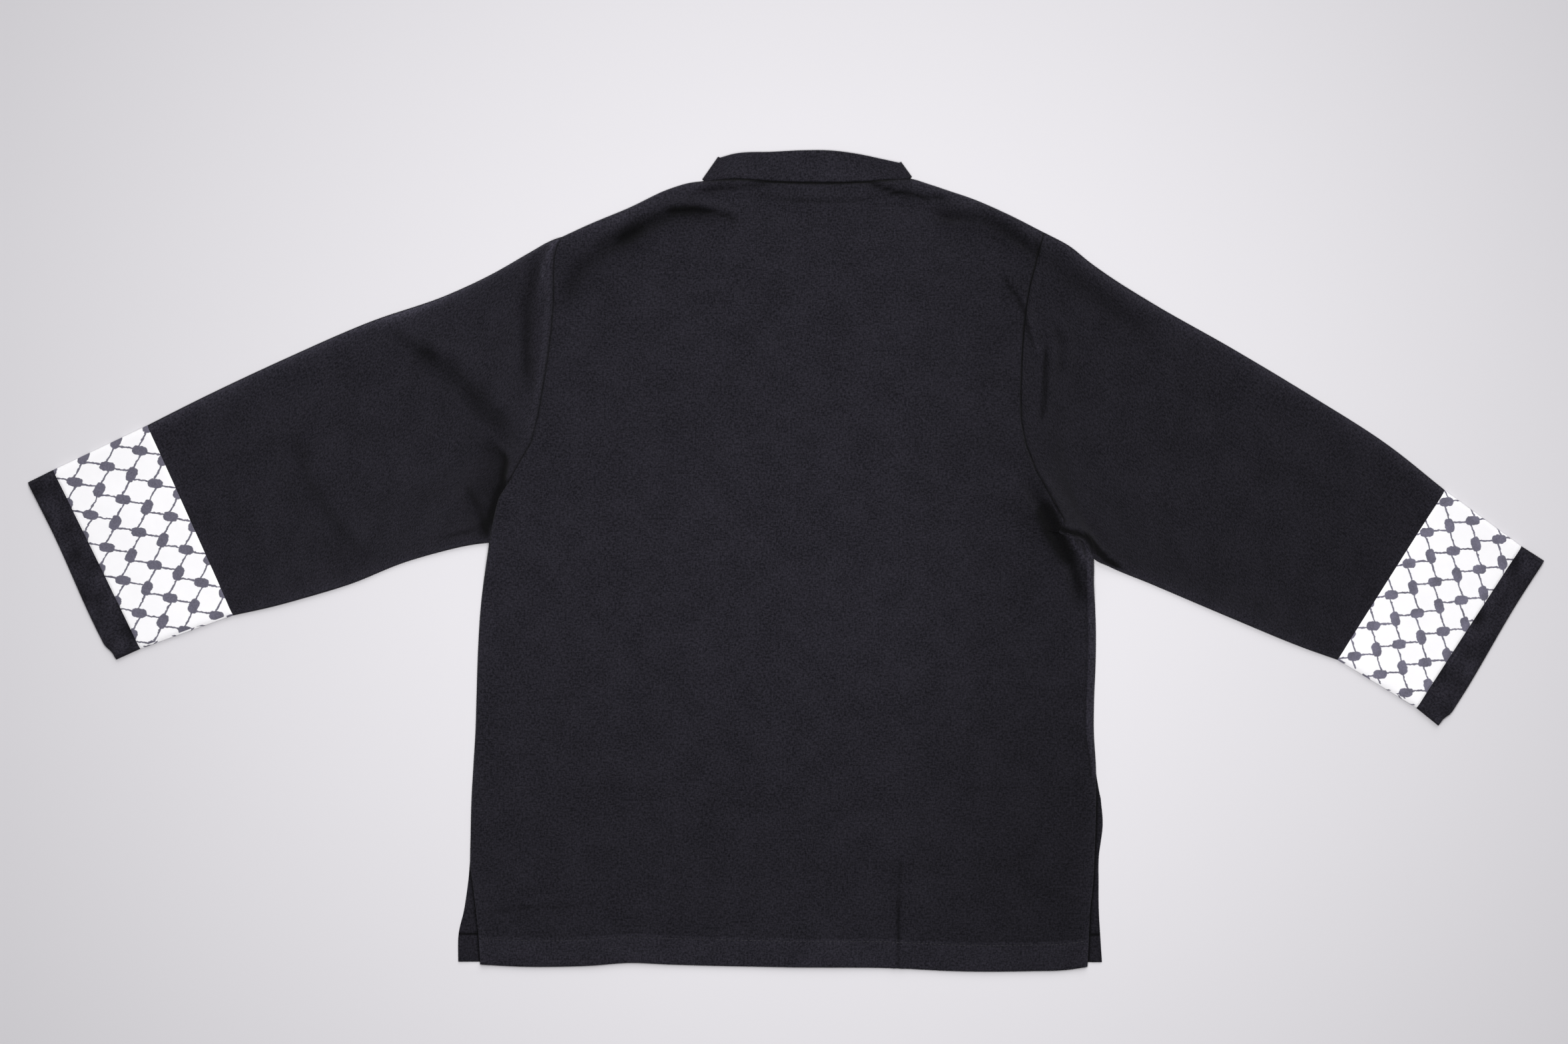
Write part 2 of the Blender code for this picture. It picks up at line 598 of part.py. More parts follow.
def make_frogs(finish):
    """The straight frogs across the centre front, knot on the left front and loop on the right."""
    tilt = -math.atan2(NECK_X - HEM_X, NECK_LEVEL_Y - NECK_DEPTH - FRONT_HEM_Y)
    eye_outer = KNOT_RADIUS + GAP + LOOP_WALL
    for index in range(FROG_PAIRS):
        y = FROG_FIRST_Y - FROG_STEP * index
        centre = (float(centre_front(y)), y)
        number = str(index + 1)
        knot = [(KNOT_RADIUS * math.cos(turn), KNOT_RADIUS * math.sin(turn))
                for turn in np.linspace(0, 2 * math.pi, 17)[:-1]]
        extrude_outline("frog_knot_" + number, knot, centre, tilt, 0.0, FROG_THICK, finish)
        bar = bar_outline(-eye_outer - GAP, -eye_outer - GAP - FROG_BAR_LENGTH, FROG_BAR_WIDTH / 2)
        extrude_outline("frog_bar_" + number, bar, centre, tilt, 0.0, FROG_THICK, finish)
        loop = [(-x, z) for x, z in loop_outline(KNOT_RADIUS + GAP, eye_outer, -eye_outer - FROG_BAR_LENGTH,
                                                 FROG_BAR_WIDTH / 2)]
        extrude_outline("frog_loop_" + number, loop, centre, tilt, 0.0, FROG_THICK, finish)


def main():
    """Build the whole jacket."""
    clear_scene()
    black = material("black_cloth", BLACK, 0.92)
    white = material("white_band", WHITE, 0.85)
    cord = material("frog_cord", CORD, 0.8)
    make_back(black)
    for side in ("left", "right"):
        make_front(side, black)
        make_sleeve(side, black)
    bands = {"left": (LEFT_BAND_OUTER, LEFT_CUFF_OUTER), "right": (RIGHT_BAND_OUTER, RIGHT_CUFF_OUTER)}
    for side, (band_seam, cuff_edge) in bands.items():
        start = seam_ends(sleeve_grid(side)[0])
        middle = ((band_seam.base_x, band_seam.base_y), (band_seam.top_x, band_seam.top_y))
        end = ((cuff_edge.base_x, cuff_edge.base_y), (cuff_edge.top_x, cuff_edge.top_y))
        make_ring("band_" + side, start, middle, CLOTH, white, 5)
        make_ring("cuff_" + side, middle, end, CUFF_CLOTH, black, 3)
    make_collar(black)
    make_frogs(cord)


main()
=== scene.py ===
"""The finish of a tang suit jacket that lies flat and face down on a pale floor.

Every cloth piece is a thin shell on the form of its solid, with the creases that the
cloth shows. Tables and shape functions are in millimetres, and meshes in metres.
"""
import math
from collections import namedtuple

import bpy
import bmesh
import numpy as np
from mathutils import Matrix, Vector
from mathutils.bvhtree import BVHTree


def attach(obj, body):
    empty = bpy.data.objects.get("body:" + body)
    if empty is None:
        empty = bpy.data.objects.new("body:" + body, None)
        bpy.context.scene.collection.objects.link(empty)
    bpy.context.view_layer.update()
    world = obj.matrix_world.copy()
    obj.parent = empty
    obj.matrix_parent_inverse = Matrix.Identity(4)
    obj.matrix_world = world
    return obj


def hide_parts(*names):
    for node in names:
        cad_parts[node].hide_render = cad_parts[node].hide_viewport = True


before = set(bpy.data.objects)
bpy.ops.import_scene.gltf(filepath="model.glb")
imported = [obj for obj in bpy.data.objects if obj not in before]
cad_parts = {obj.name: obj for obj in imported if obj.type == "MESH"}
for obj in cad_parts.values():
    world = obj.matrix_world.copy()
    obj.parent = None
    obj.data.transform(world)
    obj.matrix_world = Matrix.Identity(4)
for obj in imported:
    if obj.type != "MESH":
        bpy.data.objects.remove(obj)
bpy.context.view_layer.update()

bl_info = {
    "name": "Tang suit jacket",
    "version": (1, 0, 0),
    "blender": (4, 5, 0),
    "location": "3D View > Sidebar > Jacket",
    "description": "Finishes a flat-laid tang suit jacket with cloth, net bands, stitching and frogs",
    "category": "Object",
}

MM = 0.001
BODY_NAME = "root"

# Heights and thicknesses of the layers
FLOOR_CLEAR = 0.1
GAP = 0.3
LAYER = 1.2
UPPER = LAYER + GAP
COLLAR_CLOTH = 1.8
CLOTH = 0.85
CUFF_CLOTH = 1.25
FRONT_HEIGHT = 1.09
BAND_HEIGHT = 2.9
CUFF_HEIGHT = 3.2
ROLLED_EDGE_HEIGHT = 1.1

# Centre front and its frogs
NECK_X = 19.6
HEM_X = -2.0
FRONT_HEM_Y = -373.4
FROG_FIRST_Y = 258.0
FROG_STEP = 108.0
FROG_PAIRS = 5
FROG_THICK = 3.4
FROG_LIFT = FROG_THICK + GAP
FROG_BAR_LENGTH = 34.0
KNOT_RADIUS = 4.2
LOOP_WALL = 2.6

# Neck
NECK_HALF_WIDTH = 94.0
NECK_DEPTH = 78.0
NECK_LEVEL_Y = 352.0
NECK_CORNER = 5.0
COLLAR_HEIGHT = 28.0
COLLAR_MEETING_ANGLE = 88.9
NECK_LIFT = 0.9

# Painted highlights where the light catches the cloth's edges: along its sides, its shoulders and each
# sleeve's top
SIDE_HIGHLIGHT = 0.3
SHOULDER_HIGHLIGHT = 0.75
SLEEVE_HIGHLIGHT = {"left": 1.4, "right": 0.85}

# Hems and their stitching
HEM_DEPTH = 27.0
HEM_THREAD_IN = 2.5
SLIT_HEM_DEPTH = 9.0

# Armhole seams: how much painted shade each has, and the sleeve's raised strip beside it
ARMHOLE_SHADE = {"left": 0.75, "right": 1.0}
ARMHOLE_RIDGE = {"left": 2.2, "right": 0.45}

# Light, room and view, in metres
LAMP_PLACE = (0.03, 0.10, 1.3)
LAMP_SIZE = 1.0
LAMP_POWER = 18.8
SUN_STRENGTH = 1.65
SUN_SPREAD = 40
SUN_AIM = (-0.12, -0.82, -0.56)
ROOM_COLOUR = (0.93, 0.92, 0.95, 1.0)
ROOM_STRENGTH = 0.19
FLOOR_SIZE = 24.0
VIEW_CENTRE = (-1.9 * MM, 36.3 * MM)
VIEW_HEIGHT = 2.2
PHOTO_PIXEL = 0.62 * MM
PHOTO_COLUMNS = 2354
SENSOR_WIDTH = 36.0

# Which way x runs from the middle out
OUTWARD = {"left": -1.0, "right": 1.0}

Row = namedtuple("Row", "left_x left_y right_x right_y")
Point = namedtuple("Point", "x y")
Fold = namedtuple("Fold", "piece kind height width shade shade_width path")
Seam = namedtuple("Seam", "base_x base_y top_x top_y")
Lift = namedtuple("Lift", "flat reach below below_reach above above_reach")
Net = namedtuple("Net", "along across first_along first_across turn bow")

# How wide the frogs hold the fronts and the back up, and how softly that ends
LOWER_LIFT = Lift(48.0, 26.0, 42.0, 50.0, 22.0, 50.0)
UPPER_LIFT = Lift(92.0, 60.0, 76.0, 90.0, 26.0, 64.0)

# Side edges of the back from hem to shoulder, one row for each section
BODY = [
    Row(-284.3, -375.4, 280.2, -377.5),
    Row(-286.0, -349.0, 281.6, -351.0),
    Row(-288.5, -324.6, 282.8, -325.0),
    Row(-291.0, -303.0, 285.6, -300.0),
    Row(-293.7, -283.7, 286.8, -275.0),
    Row(-293.4, -252.0, 287.8, -246.0),
    Row(-292.6, -221.7, 288.3, -218.6),
    Row(-290.8, -190.0, 288.2, -190.0),
    Row(-288.9, -158.0, 286.4, -160.0),
    Row(-288.0, -128.0, 286.6, -129.0),
    Row(-287.1, -97.7, 287.9, -98.0),
    Row(-285.9, -70.0, 288.3, -68.0),
    Row(-284.3, -46.0, 287.6, -43.0),
    Row(-282.2, -26.0, 286.5, -23.0),
    Row(-280.0, -9.5, 286.6, -6.0),
    Row(-278.3, 2.0, 286.2, 6.0),
    Row(-277.4, 8.0, 285.2, 13.5),
    Row(-276.8, 12.8, 277.5, 22.0),
    Row(-276.0, 17.7, 258.2, 27.0),
    Row(-272.0, 39.0, 258.0, 38.0),
    Row(-267.7, 56.9, 250.5, 51.8),
    Row(-258.9, 71.6, 241.5, 67.5),
    Row(-249.5, 88.8, 232.5, 84.5),
    Row(-237.2, 110.0, 223.2, 109.0),
    Row(-230.6, 135.0, 219.0, 131.0),
    Row(-226.6, 159.5, 218.4, 156.0),
    Row(-221.9, 186.5, 219.4, 188.0),
    Row(-218.5, 215.0, 221.0, 214.0),
    Row(-216.2, 240.0, 223.8, 239.0),
    Row(-216.2, 258.0, 227.2, 257.5),
    Row(-216.3, 272.0, 230.9, 272.0),
    Row(-215.4, 283.0, 234.0, 285.0),
    Row(-213.0, 292.6, 236.9, 295.5),
    Row(-208.4, 301.7, 239.8, 305.8),
]
UNDERARM = 18
SLIT_TOP = {"left": 4.0, "right": 6.6}
LEFT_TUCK_END = 21.0

# Outer edges of the fronts where the side slits leave them showing
FLAPS = [
    Row(-305.0, -372.9, 293.9, -373.4),
    Row(-304.6, -347.0, 292.2, -347.0),
    Row(-299.6, -325.0, 290.9, -322.0),
    Row(-296.0, -301.0, 290.8, -298.0),
    Row(-294.4, -283.7, 291.0, -275.0),
    Row(-292.4, -252.0, 294.6, -246.0),
    Row(-291.6, -221.7, 292.8, -221.0),
]

# Upper edge of the back: left shoulder, collar seam, right shoulder
SHOULDER_LINE = [
    Point(-208.4, 301.7), Point(-182.9, 313.4), Point(-145.7, 328.9), Point(-108.5, 346.3),
    Point(-89.9, 351.9), Point(-75.6, 353.6), Point(-45.4, 355.4), Point(-12.2, 353.2),
    Point(17.9, 352.2), Point(49.5, 352.2), Point(79.4, 353.4), Point(98.5, 355.2),
    Point(115.1, 355.8), Point(133.3, 350.6), Point(151.9, 344.4), Point(170.5, 338.2),
    Point(207.7, 322.1), Point(239.8, 305.8),
]

# Hem of the back
HEM_LINE = [
    Point(-284.3, -375.4), Point(-260.0, -376.9), Point(-182.9, -376.5), Point(-145.7, -373.9),
    Point(-108.5, -375.4), Point(3.1, -377.9), Point(104.0, -379.0), Point(151.9, -381.4),
    Point(226.3, -381.6), Point(263.5, -380.2), Point(280.2, -377.5),
]

# Sleeve edges after the armhole, ending at the white band
SLEEVE_TOP = {
    "left": [
        Point(-220.1, 297.3), Point(-238.7, 286.8), Point(-275.9, 265.7), Point(-313.1, 248.3),
        Point(-387.5, 222.3), Point(-461.9, 190.0), Point(-554.9, 146.0), Point(-593.8, 126.3),
    ],
    "right": [
        Point(263.5, 293.0), Point(282.1, 278.1), Point(300.7, 264.8), Point(337.9, 241.5),
        Point(412.3, 199.3), Point(486.7, 154.7), Point(561.1, 107.0), Point(612.5, 66.0),
    ],
}
SLEEVE_BOTTOM = {
    "left": [
        Point(-293.3, 14.8), Point(-326.4, 7.1), Point(-353.6, -0.9), Point(-406.1, -21.8),
        Point(-443.3, -33.2), Point(-480.5, -43.3), Point(-514.0, -50.6),
    ],
    "right": [
        Point(271.0, 26.2), Point(280.6, 23.9), Point(287.8, 16.2), Point(291.2, 4.5),
        Point(300.7, -5.3), Point(337.9, -20.8), Point(412.3, -52.4), Point(486.7, -82.8),
        Point(512.7, -91.9),
    ],
}

# The right sleeve's underarm, tucked under the edge of the back
UNDERARM_TUCK = [(256.0, 24.4), (264.0, 21.0), (275.0, 18.0), (282.0, 10.5), (286.2, 2.4)]

# Corners of the bands and cuffs: lower and upper end of each seam
BAND_OUTER = {
    "left": Seam(-600.4, -81.7, -681.4, 84.8),
    "right": Seam(586.1, -136.7, 683.9, 13.8),
}
CUFF_OUTER = {
    "left": Seam(-622.8, -91.8, -705.0, 73.1),
    "right": Seam(606.5, -153.2, 704.9, 0.3),
}

# The net's repeat along and across each band, the place of its first knot, its turn in
# degrees and how far its rows bow
NET = {"left": Net(33.9, 32.8, 19.5, 15.6, -0.45, 0.0), "right": Net(33.35, 29.6, 9.4, 7.4, 1.1, 1.2)}
NET_WEAR = {"left": 0.3, "right": 0.8}
BOW_REPEATS = 3.0
BOW_MIDDLE = 2.5

# The collar's seam and its upper edge behind the neck, from fold to fold
COLLAR_BASE = [
    Point(-76.4, 353.9), Point(-45.4, 355.9), Point(-12.2, 353.7), Point(17.9, 352.7),
    Point(49.5, 352.7), Point(79.4, 353.9), Point(98.5, 355.7), Point(115.6, 356.2),
]
COLLAR_TOP = [
    Point(-61.6, 375.0), Point(-50.2, 378.3), Point(-12.0, 380.6), Point(17.9, 382.0),
    Point(40.0, 381.8), Point(67.0, 378.5), Point(89.0, 373.9), Point(105.4, 370.3),
]
# Middle and half length of the collar's painted shadow on the seam below it
COLLAR_DARK_MIDDLE = 16.0
COLLAR_DARK_HALF = 76.0

# How far each cuff's edge bows out near its lower end
CUFF_BOW = 3.8

# The trough at the right underarm, in the back and in the sleeve
UNDERARM_TROUGH = [
    (222, 84), (229, 68), (238, 50), (247, 32), (255, 15), (263, 0), (269, -14), (272, -34), (275, -54),
]

# Creases. A valley lies between two banks, a ridge stands alone, a cliff drops to its left.
# "all" is the back and the sleeves, "lower" the fronts. Shade is painted shade, and less than 0 a painted
# highlight.
FOLDS = [
    Fold("all", "valley", 2.0, 11.0, 0.36, 10.0,
         [(-209, 230), (-202, 254), (-194, 269), (-182, 281), (-168, 291), (-154, 299), (-140, 307),
          (-124, 315)]),
    Fold("all", "valley", 2.4, 10.0, 0.66, 9.0,
         [(-166, 292), (-154, 299), (-143, 305.5), (-130, 312.5), (-117, 318), (-103, 322.5), (-90, 324),
          (-72, 321), (-58, 317)]),
    Fold("all", "valley", 0.0, 9.0, 0.2, 15.0,
         [(-203, 246), (-188, 268), (-168, 286), (-146, 300), (-124, 312)]),
    Fold("all", "valley", 2.0, 4.5, 0.8, 3.0,
         [(-116, 325), (-104, 326), (-94, 326), (-83, 327), (-74, 325.5), (-65, 323.5), (-54, 320),
          (-40, 314)]),
    Fold("body", "ridge", 0.8, 9.0, -0.22, 8.0,
         [(-206, 296), (-185, 305), (-160, 315), (-135, 328), (-112, 338)]),
    Fold("all", "valley", 1.9, 4.5, 0.6, 2.8,
         [(-96, 338), (-88, 340), (-78, 344), (-60, 347), (-35, 349), (-8, 351)]),
    Fold("all", "valley", 1.0, 4.0, 0.45, 2.0,
         [(-34, 339), (-20, 338), (0, 337), (20, 335), (60, 334), (90, 337)]),
    Fold("all", "valley", 2.4, 4.5, 0.95, 2.6,
         [(72, 353), (80, 350), (92, 346), (100, 343), (115, 340.5), (130, 338), (156, 336)]),
    Fold("all", "valley", 3.0, 7.5, 0.56, 7.5,
         [(132, 323), (146, 321), (160, 320), (178, 318.5), (190, 316), (203, 309), (215, 300), (228, 289),
          (238, 276)]),
    Fold("all", "valley", 1.2, 4.0, 0.4, 2.4, [(231, 303), (234, 292), (236, 280)]),
    Fold("body", "valley", 4.4, 12.0, 0.3, 8.0,
         UNDERARM_TROUGH),
    Fold("sleeve", "valley", 4.4, 12.0, 0.0, 8.0,
         UNDERARM_TROUGH),
    Fold("body", "cliff", 1.6, 5.0, 0.0, 4.0,
         [(228, 92), (236, 74), (244.5, 60), (251.5, 47), (257, 34.5), (262.6, 18), (270.5, 5.7),
          (275.9, -6.7), (276.5, -24), (277, -44)]),
    Fold("body", "valley", 0.0, 4.0, 0.5, 4.0,
         [(233, 64), (238, 54), (245, 40.5), (252, 27), (258, 15), (264, 3), (269, -10), (273, -25),
          (275.6, -42)]),
    Fold("body", "valley", 0.0, 4.0, 0.95, 10.0,
         [(235, 54), (241, 42), (248, 28), (253.5, 17), (259, 6), (264, -6)]),
    Fold("body", "ridge", 1.2, 2.4, -0.8, 1.6,
         [(254, 44), (258, 35), (262.5, 24), (268.5, 14), (275, 5), (280, -4), (281, -16)]),
    Fold("sleeve", "valley", 1.6, 3.4, 3.2, 2.4,
         [(241, 40), (252, 33), (257, 29.5), (262, 26.5), (268, 24), (274, 23), (279.7, 22), (283.4, 18),
          (287, 13), (291, 8), (295, 4), (299, 0), (306, -5), (316, -9)]),
    Fold("body", "valley", 1.2, 4.5, 0.6, 2.4, [(200, 270), (206, 260), (214, 247), (221, 234), (224, 222)]),
    Fold("sleeve", "valley", 0.8, 4.0, 0.45, 3.0, [(219, 238), (222, 226), (226, 212), (231, 198)]),
    Fold("sleeve", "ridge", 0.8, 2.6, -0.4, 1.4,
         [(223, 232), (227, 220), (232, 205), (236, 192), (238, 182)]),
    Fold("sleeve", "valley", 1.5, 4.5, 0.75, 2.3,
         [(243, 204), (242, 192), (241, 172), (240, 150), (237, 126)]),
    Fold("sleeve", "valley", 1.2, 6.0, 0.3, 4.0, [(250, 222), (257, 200), (256, 172)]),
    Fold("sleeve", "valley", 1.6, 15.0, 0.3, 11.0,
         [(240, 294), (255, 272), (286, 249), (320, 225), (350, 206)]),
    Fold("sleeve", "valley", 3.2, 15.0, 0.5, 12.0,
         [(-352, 196), (-330, 186), (-313, 176), (-299, 161), (-285, 143.5), (-269, 128), (-261, 115),
          (-259, 101)]),
    Fold("sleeve", "valley", 1.8, 9.0, 0.58, 6.5,
         [(-229, 290), (-235, 268), (-239.5, 242), (-242, 212), (-241, 182), (-238, 150)]),
    Fold("sleeve", "ridge", 0.7, 2.4, -1.0, 1.7,
         [(-207, 306), (-214, 296), (-220.5, 285), (-225, 272), (-227.5, 258), (-228, 236)]),
    Fold("sleeve", "valley", 1.5, 8.0, 0.35, 7.0, [(-366, 214), (-345, 196), (-318, 188)]),
    Fold("sleeve", "cliff", 4.2, 16.0, 0.95, 5.5,
         [(-268, 108), (-258.2, 95.2), (-257.9, 89), (-259.8, 71.6), (-265.4, 62.3), (-270.3, 47.4),
          (-272.8, 37.5), (-277.1, 19.5), (-279, 8)]),
    Fold("sleeve", "cliff", 0.0, 16.0, 0.55, 24.0,
         [(-280, 122), (-258.2, 95.2), (-257.9, 89), (-259.8, 71.6), (-265.4, 62.3), (-272.8, 37.5),
          (-277.1, 10)]),
    Fold("body", "cliff", 3.8, 15.0, 0.0, 4.0,
         [(-266, 118), (-258.2, 95.2), (-257.9, 89), (-259.8, 71.6), (-268, 57), (-272.5, 39), (-276.5, 17.7),
          (-279, 2), (-283, -26)]),
    Fold("sleeve", "valley", 0.9, 3.0, 0.5, 1.2,
         [(-262, 40), (-273, 36.5), (-285, 32), (-296, 28), (-313, 24), (-336, 19)]),
    Fold("sleeve", "valley", 1.5, 5.5, 0.38, 4.0,
         [(-299, 72), (-293, 62), (-285, 48), (-281, 37), (-280, 24)]),
    Fold("sleeve", "valley", 1.7, 11.0, 0.26, 9.0,
         [(-459, 126), (-455, 104), (-447, 73), (-436, 54), (-425, 38), (-410, 20), (-397, 6), (-378, -8)]),
    Fold("sleeve", "valley", 0.8, 10.0, 0.0, 8.0, [(-512, 106), (-500, 70), (-470, 20)]),
    Fold("sleeve", "valley", 1.0, 9.0, 0.08, 8.0, [(366, 176), (372, 132), (352, 86)]),
    Fold("sleeve", "valley", 0.9, 12.0, 0.0, 9.0, [(470, 120), (452, 70), (440, 20)]),
    Fold("body", "valley", 0.9, 3.2, 0.5, 1.5, [(104.6, -268), (104.0, -330), (104.2, -360), (104.8, -412)]),
    Fold("body", "valley", 0.9, 4.0, 0.28, 2.0, [(-286, -330), (-260, -325), (-232, -322), (-182, -321)]),
    Fold("body", "valley", 0.8, 4.0, 0.2, 2.0, [(238, -307), (262, -313), (286, -320)]),
    Fold("body", "valley", 0.7, 16.0, 0.0, 16.0, [(-60, 300), (-20, 240), (10, 160)]),
    Fold("body", "valley", 0.7, 20.0, 0.0, 20.0, [(120, 290), (96, 190), (110, 80)]),
    Fold("body", "valley", 0.8, 22.0, 0.0, 20.0, [(-190, 120), (-160, 20), (-190, -90)]),
    Fold("body", "valley", 0.7, 18.0, 0.0, 18.0, [(150, -40), (180, -130), (160, -230)]),
    Fold("body", "valley", 0.7, 20.0, 0.0, 20.0, [(-80, -120), (-40, -210), (-70, -300)]),
    Fold("lower", "valley", 1.6, 9.0, 0.5, 7.0, [(-230, 90), (-180, 130), (-120, 150)]),
    Fold("lower", "valley", 1.4, 8.0, 0.5, 6.0, [(222, 100), (180, 150), (130, 170)]),
    Fold("lower", "valley", 1.2, 10.0, 0.4, 8.0, [(-240, -60), (-170, -90), (-110, -70)]),
    Fold("lower", "valley", 1.3, 11.0, 0.4, 9.0, [(230, -110), (170, -150), (120, -140)]),
]


# Curves and grids

def ease(value):
    """Smooth step from 0 to 1."""
    value = np.clip(value, 0.0, 1.0)
    return value * value * (3.0 - 2.0 * value)


def bell(distance, width):
    """Bell curve, 1 in its middle."""
    return np.exp(-(distance / width) ** 2)


def round_off(distance, radius):
    """How far a rounded edge has dropped: 1 at the edge, 0 from the radius on."""
    return 1.0 - np.sqrt(1.0 - np.clip(1.0 - distance / radius, 0.0, 1.0) ** 2)


def lengths_along(points):
    """Distance run at each point of a polyline."""
    points = np.asarray(points, float)
    steps = np.linalg.norm(np.diff(points, axis=0), axis=1)
    return np.concatenate([[0.0], np.cumsum(steps)])


def hermite(knots, values, places):
    """A smooth curve through values at knots, read at the places."""
    knots = np.asarray(knots, float)
    values = np.asarray(values, float)
    slopes = np.gradient(values, knots, axis=0)
    places = np.clip(np.asarray(places, float), knots[0], knots[-1])
    span = np.clip(np.searchsorted(knots, places, side="right") - 1, 0, len(knots) - 2)
    width = (knots[span + 1] - knots[span])[:, None]
    t = ((places - knots[span]) / width[:, 0])[:, None]
    start = (2 * t ** 3 - 3 * t ** 2 + 1) * values[span] + (t ** 3 - 2 * t ** 2 + t) * width * slopes[span]
    end = (3 * t ** 2 - 2 * t ** 3) * values[span + 1] + (t ** 3 - t ** 2) * width * slopes[span + 1]
    return start + end


def smooth_curve(points, places):
    """Points at the given places, 0 to 1, on a smooth curve through the table's points."""
    run = lengths_along(points)
    return hermite(run / run[-1], points, places)


def patch(left, right, bottom, top, across, up):
    """Fill four edge curves with a grid, rows going up and columns going across."""
    u = np.asarray(across)[None, :, None]
    v = np.asarray(up)[:, None, None]
    sides = (1 - u) * left[:, None, :] + u * right[:, None, :]
    ends = (1 - v) * bottom[None, :, :] + v * top[None, :, :]
    corners = ((1 - u) * (1 - v) * bottom[0] + u * (1 - v) * bottom[-1]
               + (1 - u) * v * top[0] + u * v * top[-1])
    return sides + ends - corners


# Distances from an edge where the lines of a grid lie close together
EDGE_STEPS = (0.0, 0.3, 0.7, 1.3, 2.1, 3.2, 4.8, 7.0)
SIDE_STEPS = (0.0, 0.3, 0.7, 1.3, 2.1, 3.0, 3.8, 4.5, 5.4, 6.4, 7.0, 7.5, 8.0, 8.6, 9.6, 11.4)
FLAP_STEPS = (0.0, 0.3, 0.7, 1.3, 2.2) + tuple(round(3.4 + 1.2 * step, 1) for step in range(17))
HEM_STEPS = (0.0, 0.3, 0.7, 1.2, 1.9, 3.2, 5.4, 9.0, 13.0, 17.0, 20.6, 22.8, 23.8, 24.5, 25.1, 25.8, 26.6,
             27.6, 29.6)
RING_STEPS = (0.0, 0.3, 0.7, 1.3, 2.1, 3.2)
COLLAR_STEPS = (0.0, 0.2, 0.5, 0.9, 1.5, 2.3)


def spaced(length, step, fine=EDGE_STEPS):
    """Places from 0 to 1 along a length, a step apart but close together at both ends."""
    fine = np.asarray(fine)
    middle = np.linspace(fine[-1], length - fine[-1], max(2, round((length - 2 * fine[-1]) / step)))
    return np.concatenate([fine[:-1], middle, length - fine[:-1][::-1]]) / length


def distance_to_path(x, y, path):
    """Distance from each place to a polyline, its place along it, 0 to 1, and its side, + on the left."""
    path = np.asarray(path, float)
    run = lengths_along(path)
    run = run / run[-1]
    best = np.full(np.shape(x), 1e9)
    along = np.zeros(np.shape(x))
    side = np.zeros(np.shape(x))
    for index in range(len(path) - 1):
        step = path[index + 1] - path[index]
        share = ((x - path[index, 0]) * step[0] + (y - path[index, 1]) * step[1]) / (step @ step)
        share = np.clip(share, 0.0, 1.0)
        away = np.hypot(x - path[index, 0] - share * step[0], y - path[index, 1] - share * step[1])
        nearer = away < best
        cross = step[0] * (y - path[index, 1]) - step[1] * (x - path[index, 0])
        best = np.where(nearer, away, best)
        along = np.where(nearer, run[index] + share * (run[index + 1] - run[index]), along)
        side = np.where(nearer, np.sign(cross), side)
    return best, along, side


def waves(x, y, size, seed):
    """Gentle uneven waves between -1 and 1, about the given size across."""
    random = np.random.default_rng(seed)
    total = np.zeros(np.shape(x))
    for _ in range(7):
        angle = random.uniform(0, math.pi)
        pitch = size * random.uniform(0.7, 1.6)
        shift = random.uniform(0, 2 * math.pi)
        total = total + np.sin(2 * math.pi * (x * math.cos(angle) + y * math.sin(angle)) / pitch + shift)
    return total / 4.0


# Heights

def centre_front(y):
    """The line where the two fronts meet."""
    return HEM_X + (NECK_X - HEM_X) * (y - FRONT_HEM_Y) / (NECK_LEVEL_Y - NECK_DEPTH - FRONT_HEM_Y)


def frog_lift(x, y, lift):
    """How far the frogs hold the cloth off the floor: full beside them, easing off around."""
    lowest_frog = FROG_FIRST_Y - FROG_STEP * (FROG_PAIRS - 1)
    side = 1.0 - ease((np.abs(x - centre_front(y)) - lift.flat) / lift.reach)
    below = 1.0 - ease((lowest_frog - lift.below - y) / lift.below_reach)
    above = 1.0 - ease((y - FROG_FIRST_Y - lift.above) / lift.above_reach)
    return FROG_LIFT * side * below * above


def crease(x, y, piece):
    """Height and shade that the creases of one piece add at each place."""
    height = np.zeros(np.shape(x))
    shade = np.zeros(np.shape(x))
    wander = 0.8 * waves(x, y, 34.0, 11)
    for fold in FOLDS:
        if fold.piece != piece and not (fold.piece == "all" and piece != "lower"):
            continue
        away, along, side = distance_to_path(x + wander, y + wander, fold.path)
        fade = ease(along / 0.2 + 0.12) * ease((1.0 - along) / 0.24 + 0.1)
        fade = fade * (1.0 + 0.12 * np.sin(9.0 * along + fold.width))
        form = bell(away, fold.width)
        mark = bell(away, fold.shade_width)
        if fold.kind == "cliff":
            keep = ease(0.5 + side * away / 3.0)
            form = form * keep
            mark = mark * (1.0 - keep)
        elif fold.kind == "valley":
            form = form * math.e * (away / fold.width) ** 2
        height = height + fold.height * fade * form
        shade = shade + fold.shade * fade * mark
    return height, shade


def side_points(table, side):
    """One side's points of a table with a left and a right point in each row."""
    return [(getattr(row, side + "_x"), getattr(row, side + "_y")) for row in table]


def armhole_path(side):
    """The armhole seam's points."""
    first = UNDERARM + 3 if side == "left" else UNDERARM
    return side_points(BODY[first:], side)


def tone(x, y):
    """The cloth is a little darker towards the hem and towards the right sleeve."""
    return 0.24 * ease((x - 60.0) / 200.0) + 0.14 * ease((-60.0 - y) / 180.0)


